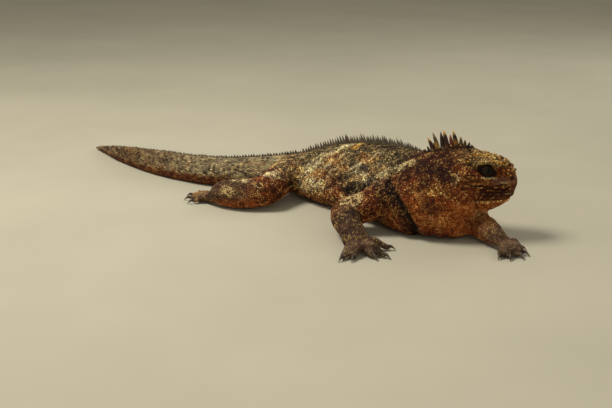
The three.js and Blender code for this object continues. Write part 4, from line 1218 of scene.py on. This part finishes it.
def eye_material(sd):
    m, nt, b = new_material("iguana_eye_" + ("r" if sd > 0 else "l"))
    c, a, bb, o = eye_frame(sd)
    c = out(c)
    tc = nt.nodes.new("ShaderNodeTexCoord")
    sub = nt.nodes.new("ShaderNodeVectorMath")
    sub.operation = "SUBTRACT"
    sub.inputs[1].default_value = tuple(c)
    nt.links.new(tc.outputs["Object"], sub.inputs[0])
    dot = nt.nodes.new("ShaderNodeVectorMath")
    dot.operation = "DOT_PRODUCT"
    look = unit(o + a * 0.05)
    dot.inputs[1].default_value = tuple(look)
    nt.links.new(sub.outputs["Vector"], dot.inputs[0])
    dv = nt.nodes.new("ShaderNodeMath")
    dv.operation = "DIVIDE"
    dv.inputs[1].default_value = EYE_R * 0.001
    nt.links.new(dot.outputs["Value"], dv.inputs[0])
    nz = noise_node(nt, 1800.0, 3.0)
    ad = nt.nodes.new("ShaderNodeMath")
    ad.operation = "MULTIPLY_ADD"
    ad.inputs[1].default_value = 0.035
    nt.links.new(nz.outputs["Fac"], ad.inputs[0])
    nt.links.new(dv.outputs["Value"], ad.inputs[2])
    r = ramp(nt, ad.outputs["Value"], [(0.62, (0.016, 0.010, 0.007)), (0.72, (0.008, 0.005, 0.003)), (0.80, (0.020, 0.010, 0.005)), (0.925, (0.045, 0.022, 0.008)), (0.945, (0.002, 0.001, 0.001)), (1.0, (0.001, 0.001, 0.001))])
    nt.links.new(r.outputs["Color"], b.inputs["Base Color"])
    b.inputs["Roughness"].default_value = 0.08
    b.inputs["Specular IOR Level"].default_value = 0.12
    return m


# ---------------------------------------------------------------- build the animal
skin = build_skin()
SV, ST, LID = shape_skin(skin)
SN = vertex_normals(SV, ST)
SL = locate(SV)
col = markings(SV, SL)
for q in (1, -1):
    c, a, b, o = eye_frame(q)
# the skin between the scales is painted much darker, less where the hide is calm: painted shade in the gaps; the lid
# rim is the lids' own dark skin
col = mix(col * (0.34 + 0.2 * SL["calm"])[:, None], PAL["lidrim"] * 0.8, LID * 0.6)
set_colour(skin.data, col)
skin.data.materials.clear()
skin.data.materials.append(MAT_SKIN)
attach(skin, "root")
FLESH = [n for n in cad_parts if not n.startswith(("eye", "claw"))]
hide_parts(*FLESH)
print("skin triangles", len(ST))

bvh = BVHTree.FromPolygons([tuple(v) for v in SV], [tuple(t) for t in ST.tolist()])


# spacing of the scales, and where there are any
def spacing(P, L, N):
    s, ang = L["s"], L["ang"]
    up = np.sin(ang)
    r = np.full(len(P), 1.95)
    r = np.where(up < -0.7, 2.5, r)
    r = r + 0.25 * smooth(0.7, 0.95, up) * (L["head"] < 0.3)
    nk = smooth(NAPE_GAP, NAPE_GAP + 14, s)
    r = r - 0.20 * nk
    h = L["head"]
    top = smooth(86, 93, L["hz"]) * smooth(-2, 10, L["hf"]) + 0.9 * smooth(44, 54, L["hf"]) * smooth(76, 83, L["hz"])
    brow = bell(L["hz"], 93, 5) * smooth(6, 14, L["hf"]) * smooth(14, 20, np.abs(L["hr"]))
    r = np.where(h > 0.5, 1.68 + 1.35 * np.clip(top, 0, 1) + 0.9 * np.clip(top, 0, 1) * np.clip(brow + smooth(42, 52, L["hf"]), 0, 1), r)
    lip = smooth(16, 22, L["hf"]) * bell(L["hz"], 54.5, 3.4) + smooth(14, 22, L["hf"]) * bell(L["hz"], 46.5, 2.6)
    r = np.where(h > 0.5, r + 0.8 * lip, r)
    fineline = (h > 0.5) * np.maximum(bell(L["hz"], crescent(L["hf"]), 2.6) * smooth(15, 20, L["hf"]), smooth(-4, 2, L["hf"]) * smooth(28, 24, L["hf"]) * smooth(67, 69, L["hz"]) * smooth(83, 81, L["hz"]))
    r = r * (1 - 0.28 * fineline)
    r = r + 0.9 * bell(L["hf"], 0, 6) * bell(L["hz"], 84, 7) * (h > 0.2)
    for q in (1, -1):
        c = head_point(EYE[0], EYE[1] * q, EYE[2])
        d = np.linalg.norm(P - c, axis=1)
        r = np.where(d < 15, np.minimum(r, 1.15 + 0.13 * np.maximum(d - 8, 0)), r)
    r = np.where(L["wl"] > 0.5, 1.9, r)
    r = np.where((L["wl"] > 0.5) & (L["toe"] >= 0), 1.6, r)
    return r


def on_eye(P, grow=1.22):
    m = np.zeros(len(P), bool)
    for q in (1, -1):
        c, a, b, o = eye_frame(q)
        d = P - c
        A, B, C = d @ a, d @ b - 0.1, d @ o
        m |= ((A / (5.5 * grow)) ** 2 + (B / (2.8 * grow)) ** 2 < 1) & (C > -1) & (np.abs(d).max(1) < 14)
    return m


R = spacing(SV, SL, SN)
R = R * (1 - 0.12 * smooth(NAPE_GAP - 20, NAPE_GAP + 10, SL["s"]) * (SL["wl"] < 0.5) * (R < 2.1))
keep = ~((SV[:, 2] < 0.6) & (SN[:, 2] < -0.5)) & ~on_eye(SV)
ear_d = np.ones(len(SV)) * 9
for q in (1, -1):
    ec = head_point(EAR[0], EAR[1] * q, EAR[2])
    ear_d = np.minimum(ear_d, np.linalg.norm((SV - ec) * np.array([1, 1, 0.8]), axis=1) + 99 * (np.sign(SL["hr"]) != q))
keep &= ear_d > 3.6
keep &= SL["groove"] < 0.62
keep &= ~((np.abs(SL["hz"] - mouth_line(SL["hf"])) < 0.75) & (SL["hf"] > 17) & (SL["head"] > 0.5))
TAIL_END = HIP - 22
keep &= ~((SL["s"] < TAIL_END) & (SL["wl"] < 0.5))
P, r = scatter(SV, ST, R, keep, 7)
P = settle(P, r, bvh, 3)
P, idx, tv = stick(P, bvh, ST, SN)
N = unit(SN[tv].mean(1))
L = locate(P)
ok = ~((P[:, 2] < 0.6) & (N[:, 2] < -0.5)) & ~on_eye(P, 1.18)
P, r, N, idx = P[ok], r[ok], N[ok], idx[ok]
L = locate(P)
print("scales", len(P))
C = markings(P, L)
rng = np.random.default_rng(11)
u1, u3 = rng.random(len(P)), rng.random(len(P))
C = scale_tones(C, P, L, rng)
lie = L["flow"]
half = r * (0.54 + 0.06 * rng.random(len(P)))
top = smooth(86, 92, L["hz"]) * L["head"] * smooth(2, 12, L["hf"]) + 0.9 * smooth(44, 54, L["hf"]) * smooth(76, 83, L["hz"]) * L["head"]
tall = half * np.where(top > 0.3, 0.6 + 1.0 * u1, 0.62)
tall *= (0.85 + 0.3 * u3) * (1 - 0.45 * L["calm"] * (top < 0.3))
cone = (top > 0.3) & (r > 2.3)
C = np.where(cone[:, None], mix(C, np.where((u3 > 0.84)[:, None], PAL["yellow"], mix(np.tile(PAL["amber"] * 0.8 + PAL["pale"] * 0.3, (len(P), 1)), PAL["back"], u1)) * (0.55 + 0.50 * u1)[:, None], 0.05 + 0.60 * (u3 > 0.45)), C)


def bake_uv(P, L, kind):
    """Place of each root on an unwrap of the skin: along the body and round it, or along a limb and round it."""
    if kind == "limb":
        ang = np.arctan2(L["lz"], L["lx"]) / (2 * np.pi) + 0.5
        a = np.clip(L["ls"] / 190.0, 0, 1)
        a = np.where(L["toe"] >= 0, np.clip(L["ls"] / 60.0, 0, 1), a)
        cell = L["limb"] * 2 + (L["toe"] >= 0)
        sub = np.where(L["toe"] >= 0, L["toe"], 0)
        y = np.where(L["toe"] >= 0, (sub + ang) / 5, ang)
        return np.stack([0.01 + 0.98 * a, (cell + 0.04 + 0.92 * y) / 8], 1)
    s = L["s"]
    a = (s - s.min()) / max(np.ptp(s), 1)
    b = (L["ang"] / (2 * np.pi) + 0.25) % 1.0      # the seam lies along the belly
    return np.stack([0.01 + 0.98 * a, 0.01 + 0.98 * b], 1)


groups = {}
limbm = L["wl"] > 0.5
headm = ~limbm & (L["head"] > 0.5)
s = L["s"]
right = L["u"] > 0
groups["scales_head"] = headm
groups["scales_limbs_fore"] = limbm & (L["limb"] < 2)
groups["scales_limbs_hind"] = limbm & (L["limb"] >= 2)
rest = ~limbm & ~headm
groups["scales_rump"] = rest & (s < HIP - 10)
tr = rest & (s >= HIP - 10)
cuts = [HIP - 10, HIP + 75, HIP + 150, NAPE_GAP + 4, 1e9]
for i in range(4):
    for nm, sm in (("right", right), ("left", ~right)):
        groups["scales_body_%d_%s" % (i + 1, nm)] = tr & (s >= cuts[i]) & (s < cuts[i + 1]) & sm
total = 0
for name, m in groups.items():
    for form, fm, tag in ((GRAIN, ~cone, ""), (CONE, cone, "_cones")):
        q = np.nonzero(m & fm)[0]
        if not len(q):
            continue
        uv = bake_uv(P[q], {k: (v[q] if isinstance(v, np.ndarray) else v) for k, v in L.items()}, "limb" if "limbs" in name else "body")
        # (0.30, 1.12) is the painted shade at each scale's base and the painted highlight at its top
        ob = scale_mesh(name + tag, P[q], N[q], lie[q], half[q], tall[q], np.full(len(q), 0.98), np.full(len(q), 1.08), (0.30, 1.12), C[q], uv, form, MAT_SCALE)
        total += len(ob.data.polygons)
        print(name + tag, len(q), len(ob.data.polygons))


def build_tail_scales():
    """Keeled scales in rings round the tail."""
    rng = np.random.default_rng(31)
    S_, A_, W_, H_ = [], [], [], []
    s0, k = 7.0, 0
    th = np.linspace(0, 2 * np.pi, 721)[:-1]
    while s0 < TAIL_END + 1:
        row, t, sd = at(np.array([s0]))
        row = row[0]
        pitch = float(np.interp(s0, [0, 120, 400], [2.1, 3.0, 3.7]))
        c_, s_ = np.cos(th), np.sin(th)
        e = np.where(s_ >= 0, row[6], row[7])
        u = spow(c_, e) * row[4]
        z = row[5] + spow(s_, e) * np.where(s_ >= 0, row[2] - row[5], row[5] - row[3])
        seg = np.hypot(np.diff(np.append(u, u[0])), np.diff(np.append(z, z[0])))
        cum = np.concatenate([[0], np.cumsum(seg)])
        n = max(int(round(cum[-1] / float(np.interp(s0, [0, 120, 400], [1.7, 2.3, 2.7])))), 6)
        q = (np.arange(n) + 0.5 * (k % 2)) / n * cum[-1]
        f = np.interp(q, cum, np.arange(len(cum))) % len(th)
        i = f.astype(int) % len(th)
        P_ = np.stack([row[0] + sd[0, 0] * u[i], row[1] + sd[0, 1] * u[i], z[i]], 1)
        S_.append(P_)
        W_.append(np.full(n, cum[-1] / n))
        H_.append(np.full(n, pitch))
        s0 += pitch * (0.97 + 0.06 * rng.random())
        k += 1
    P, W, H = np.concatenate(S_), np.concatenate(W_), np.concatenate(H_)
    Q, idx, tv = stick(P, bvh, ST, SN)
    N = unit(SN[tv].mean(1))
    ok = (np.linalg.norm(Q - P, axis=1) < 2.5) & ~((Q[:, 2] < 0.6) & (N[:, 2] < -0.5))
    L = locate(Q)
    ok &= L["wl"] < 0.5
    Q, N, W, H = Q[ok], N[ok], W[ok], H[ok]
    L = {k_: (v[ok] if isinstance(v, np.ndarray) else v) for k_, v in L.items()}
    C = markings(Q, L)
    C = scale_tones(C, Q, L, rng)
    u = rng.random(len(Q))
    uv = bake_uv(Q, L, "body")
    # (0.30, 1.15) is the painted shade at each scale's base and the painted highlight at its top
    ob = scale_mesh("scales_tail", Q, N, L["flow"], np.full(len(Q), 0.5), 0.62 * W * 0.5 * (0.8 + 0.4 * u), W * 0.96, H * 1.10, (0.30, 1.15), C, uv, KEEL, MAT_SCALE)
    print("scales_tail", len(Q), len(ob.data.polygons))
    return len(ob.data.polygons)


total += build_tail_scales()
print("coat triangles", total)


# ---------------------------------------------------------------- crest
def crest_height(s):
    if s < HIP - 4:
        return np.interp(s, [20, HIP - 40], [1.5, 4.8])
    if s < HIP + 4:
        return 2.8
    if s < NAPE_GAP - 3:
        t = (s - HIP) / (NAPE_GAP - HIP)
        return 4.5 + 7.0 * math.sin(math.pi * t) ** 0.6
    return 3.0


def blade(c, t, side, h, half_len, half_wide, lean, root, rings=7, blunt=2.4, n=8):
    """A flat, pointed spine that curves back. Returns vertices and their height share."""
    V, hs = [], []
    a = 2 * np.pi * np.arange(n) / n
    for k in range(rings):
        f = k / (rings - 1)
        z = -root + (root + h) * f
        taper = max((1 - f ** blunt) ** 0.85, 0.10)
        fz = max(z, 0) / h
        back = -(lean * h) * (fz ** 1.35)
        x = np.cos(a) * half_len * taper * (1.12 - 0.25 * f if blunt < 4 else 1.06 - 0.30 * f) + back
        y = np.sin(a) * half_wide * taper
        V.append(c + x[:, None] * t + y[:, None] * side + np.array([0, 0, 1.0]) * z)
        hs += [f] * n
    V = np.concatenate(V)
    tip = c + t * (-(lean * h) * 1.02) + np.array([0, 0, 1.0]) * (h + 0.15)
    V = np.concatenate([V, tip[None]])
    hs.append(1.0)
    F = []
    for k in range(rings - 1):
        for j in range(n):
            p, q = k * n + j, k * n + (j + 1) % n
            F += [(p, q, q + n), (p, q + n, p + n)]
    b = (rings - 1) * n
    for j in range(n):
        F.append((b + j, b + (j + 1) % n, b + n))
    return V, np.array(F), np.array(hs)


def build_crest():
    rng = np.random.default_rng(5)
    parts = dict(crest_tail=([], [], [], []), crest_back=([], [], [], []), crest_nape=([], [], [], []))
    tips = dict(dark=srgb(88, 76, 60), yellow=srgb(220, 166, 84), olive=srgb(140, 122, 74), red=srgb(150, 78, 46))
    feet = dict(dark=srgb(42, 28, 21), yellow=srgb(54, 31, 22), olive=srgb(84, 64, 40), red=srgb(92, 42, 26))

    def add(key, s, h, lean, hl, hw, off=0.0, bend=0.0, kind=None, tone=1.0, rings=6, band=0.0):
        row, t, sd = at(np.array([float(s)]))
        t3 = np.array([t[0, 0], t[0, 1], 0])
        s3 = np.array([sd[0, 0], sd[0, 1], 0])
        base = row[0, :2] + s3[:2] * off
        hit = bvh.ray_cast(Vector((base[0], base[1], 160)), Vector((0, 0, -1)))
        zt = hit[0][2] if hit[0] is not None else row[0, 2]
        c = np.array([base[0], base[1], zt - 0.2])
        v, f, hs = blade(c, t3, unit(s3 + t3 * bend), h, hl, hw, lean, min(2.8, 1.2 + h * 0.12), rings, 4.6 if kind else 2.3)
        v = v + s3 * (hs ** 2 * off * 0.22 + hs ** 2 * bend * h * 0.25)[:, None]
        V, F, C, U = parts[key]
        n0 = sum(len(x) for x in V)
        if kind is None:
            foot, body, tip = srgb(104, 84, 56), srgb(84, 74, 60), srgb(140, 126, 98)
        else:
            foot, body, tip = PAL["crown"], feet[kind], tips[kind]
        k = np.clip((hs - 0.76) / 0.16, 0, 1)[:, None]
        lo = np.clip(1 - hs / 0.35, 0, 1)[:, None]
        cc = body * (1 - k) + tip * k
        cc = cc * (1 - lo) + foot * lo
        if band:
            w = bell(hs, 0.42, 0.10)[:, None] * band
            cc = cc * (1 - w) + PAL["yellow"] * w
        V.append(v)
        F.append(f + n0)
        C.append(cc * tone)
        ring = np.concatenate([np.tile(np.arange(8) * np.pi / 4, rings), [0.0]])
        size = 0.0014 * (1 - 0.5 * hs)
        size[-1] = 0
        U.append(np.stack([0.01 + 0.98 * s / LENGTH + np.cos(ring) * size, 0.5 + off / 160.0 + np.sin(ring) * size], 1))

    s = 12.0
    while s < NAPE_GAP:
        h = float(crest_height(s)) * (0.82 + 0.30 * rng.random())
        pitch = float(np.interp(s, [0, HIP], [3.2, 4.0])) if s < HIP else 4.3
        add("crest_back" if s > HIP else "crest_tail", s, h, 0.40 + (rng.random() - 0.5) * 0.24, pitch * (0.56 + 0.1 * rng.random()), np.clip(h * 0.12, 0.75, 1.4), (rng.random() - 0.5) * 0.8, (rng.random() - 0.5) * 0.3, tone=0.7 + 0.6 * rng.random(), rings=6)
        s += pitch * (0.92 + 0.16 * rng.random())
    for i, (x, h, lean, hl, kind) in enumerate(NAPE):
        sc = arc_of_x(x)
        add("crest_nape", sc, h, lean, hl, np.clip(h * 0.11, 0.8, 1.9), (rng.random() - 0.5) * 1.2, (rng.random() - 0.5) * 0.5, kind, 0.85 + 0.3 * rng.random(), 9, 0.45 * (i in (3, 7)))
    add("crest_nape", arc_of_x(191.6), 9.5, 0.45, 3.4, 1.7, -1.6, 0.0, "olive", 0.8, 8, 0.5)
    # shorter cones beside the tall ones, some of them yellow
    for q in (1, -1):
        sc = arc_of_x(180)
        while sc < arc_of_x(230):
            kind = ("yellow", "yellow", "dark", "dark", "olive", "red")[int(rng.random() * 6)]
            h = 3.0 + 3.0 * rng.random()
            add("crest_nape", sc, h, 0.35, 2.1 + 0.8 * rng.random(), 1.6, q * (2.6 + 1.6 * rng.random()), 0.0, kind, 0.9, 5)
            sc += 3.6 + 2.2 * rng.random()
    for key, (V, F, C, U) in parts.items():
        V, F, C, U = np.concatenate(V), np.concatenate(F), np.concatenate(C), np.concatenate(U)
        ob = fast_mesh(key, to_m(V), F)
        set_colour(ob.data, C)
        layer = ob.data.uv_layers.new(name="OFBake", do_init=False)
        layer.uv.foreach_set("vector", U[F.ravel()].astype(np.float32).ravel())
        ob.data.materials.append(MAT_CREST)
        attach(ob, "root")


build_crest()


# ---------------------------------------------------------------- claws
def build_claws():
    V, F, C = [], [], []
    base = 0
    n, rings = 12, 14
    a = 2 * np.pi * np.arange(n) / n
    for name in LIMBS:
        for t in toe_list(name):
            o, e, ln, c = t["o"], t["e"], t["length"], t["c"]
            sdv = np.array([e[1], -e[0], 0])
            vv = []
            for k in range(rings):
                f = k / (rings - 1)
                x = ln + (-0.12 + 1.12 * f) * c
                z = 4.3 + 0.9 * math.sin(math.pi * min(f * 1.15, 1)) - 4.0 * f ** 2.6
                rad = 2.35 * (1 - f) ** 0.62 * (1 - 0.1 * f) + 0.12
                prof = np.where(np.sin(a) < 0, 0.85, 1.12)
                vv.append(np.array([o[0], o[1], 0]) + e * x + np.cos(a)[:, None] * sdv * rad * 0.82 + np.array([0, 0, 1.0]) * (z + np.sin(a) * rad * prof)[:, None])
            vv = np.concatenate(vv)
            vv[:, 2] = np.maximum(vv[:, 2], 0.05)
            f_, cc = [], []
            for k in range(rings - 1):
                for j in range(n):
                    p, q = k * n + j, k * n + (j + 1) % n
                    f_ += [(p, q, q + n), (p, q + n, p + n)]
            for j in range(1, n - 1):
                f_ += [(0, j + 1, j), ((rings - 1) * n, (rings - 1) * n + j, (rings - 1) * n + j + 1)]
            V.append(vv)
            F.append(np.array(f_) + base)
            f = np.repeat(np.arange(rings) / (rings - 1), n)[:, None]
            C.append(srgb(40, 32, 27) * (1 - f) + srgb(92, 78, 62) * f)
            base += len(vv)
    V, F, C = np.concatenate(V), np.concatenate(F), np.concatenate(C)
    p = V[F]
    ob = fast_mesh("claws", to_m(V), F)
    bm = bmesh.new()
    bm.from_mesh(ob.data)
    bmesh.ops.recalc_face_normals(bm, faces=bm.faces)
    bm.to_mesh(ob.data)
    bm.free()
    set_colour(ob.data, C)
    ob.data.materials.append(MAT_CLAW)
    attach(ob, "root")
    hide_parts(*[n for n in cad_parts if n.startswith("claw")])


build_claws()

# ---------------------------------------------------------------- eyes
for q, nm in ((1, "r"), (-1, "l")):
    c, a, b, o = eye_frame(q)
    bm = bmesh.new()
    bmesh.ops.create_uvsphere(bm, u_segments=48, v_segments=32, radius=EYE_R)
    rot = Matrix((tuple(a), tuple(b), tuple(o))).transposed().to_4x4()
    for v in bm.verts:
        # a slightly bulging cornea
        w = max(v.co.z / EYE_R, 0)
        k = 1 + 0.05 * smooth(0.78, 0.95, np.array([w]))[0]
        v.co *= k
    bm.transform(rot)
    me = bpy.data.meshes.new("eyeball_" + nm)
    for v in bm.verts:
        v.co = Vector(out(np.array(v.co) + c))
    bm.to_mesh(me)
    bm.free()
    me.polygons.foreach_set("use_smooth", np.ones(len(me.polygons), bool))
    ob = bpy.data.objects.new("eyeball_" + nm, me)
    bpy.context.scene.collection.objects.link(ob)
    me.materials.append(eye_material(q))
    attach(ob, "root")
    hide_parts("eye_" + nm)

# ---------------------------------------------------------------- floor, light and camera
bm = bmesh.new()
bmesh.ops.create_grid(bm, x_segments=40, y_segments=40, size=9.0)
me = bpy.data.meshes.new("studio_floor")
bm.to_mesh(me)
bm.free()
floor = bpy.data.objects.new("studio_floor", me)
bpy.context.scene.collection.objects.link(floor)
fm, nt, b = new_material("studio_floor")
nz = noise_node(nt, 3.0, 3.0)
rp = ramp(nt, nz.outputs["Fac"], [(0.3, (0.45, 0.42, 0.315)), (0.7, (0.50, 0.465, 0.35))])
nt.links.new(rp.outputs["Color"], b.inputs["Base Color"])
b.inputs["Roughness"].default_value = 0.9
b.inputs["Specular IOR Level"].default_value = 0.15
me.materials.append(fm)


def area(name, where, look, size, power, colour=(1, 1, 1)):
    d = bpy.data.lights.new(name, "AREA")
    d.shape = "DISK"
    d.size = size
    d.energy = power
    d.color = colour
    ob = bpy.data.objects.new(name, d)
    bpy.context.scene.collection.objects.link(ob)
    ob.location = where
    ob.rotation_euler = (Vector(look) - Vector(where)).to_track_quat("-Z", "Y").to_euler()
    return ob


ELEV, AZ, LENS, SCALE = math.radians(16.5), math.radians(43.0), 60.0, 0.77
back = np.array([math.sin(AZ) * math.cos(ELEV), -math.cos(AZ) * math.cos(ELEV), math.sin(ELEV)])
rightv = np.array([math.cos(AZ), math.sin(AZ), 0])
upv = np.cross(back, rightv)
aim = out([0, 0, 0])
dist = LENS / 36 * 612 / SCALE * 0.001
camd = bpy.data.cameras.new("camera")
camd.lens = LENS
camd.sensor_width = 36
camd.clip_start = 0.01
camd.clip_end = 50
cam = bpy.data.objects.new("camera", camd)
bpy.context.scene.collection.objects.link(cam)
M = Matrix((tuple(rightv), tuple(upv), tuple(back))).transposed().to_4x4()
M.translation = Vector(aim + back * dist)
cam.matrix_world = M
bpy.context.scene.camera = cam

area("key", (-0.45, -0.75, 1.55), (0.05, 0.0, 0.03), 0.7, 27, (1.0, 0.965, 0.89))
area("fill", (1.5, -1.1, 0.8), (0.10, 0, 0.05), 1.2, 4.5, (1.0, 0.95, 0.88))
area("rim", (0.3, 1.6, 1.1), (0.1, 0, 0.05), 0.9, 7, (1.0, 0.97, 0.92))
bpy.context.scene.view_settings.view_transform = "Standard"
world = bpy.data.worlds.new("studio")
bpy.context.scene.world = world
world.use_nodes = True
bg = world.node_tree.nodes["Background"]
bg.inputs["Color"].default_value = (1.0, 0.95, 0.86, 1)
bg.inputs["Strength"].default_value = 0.32
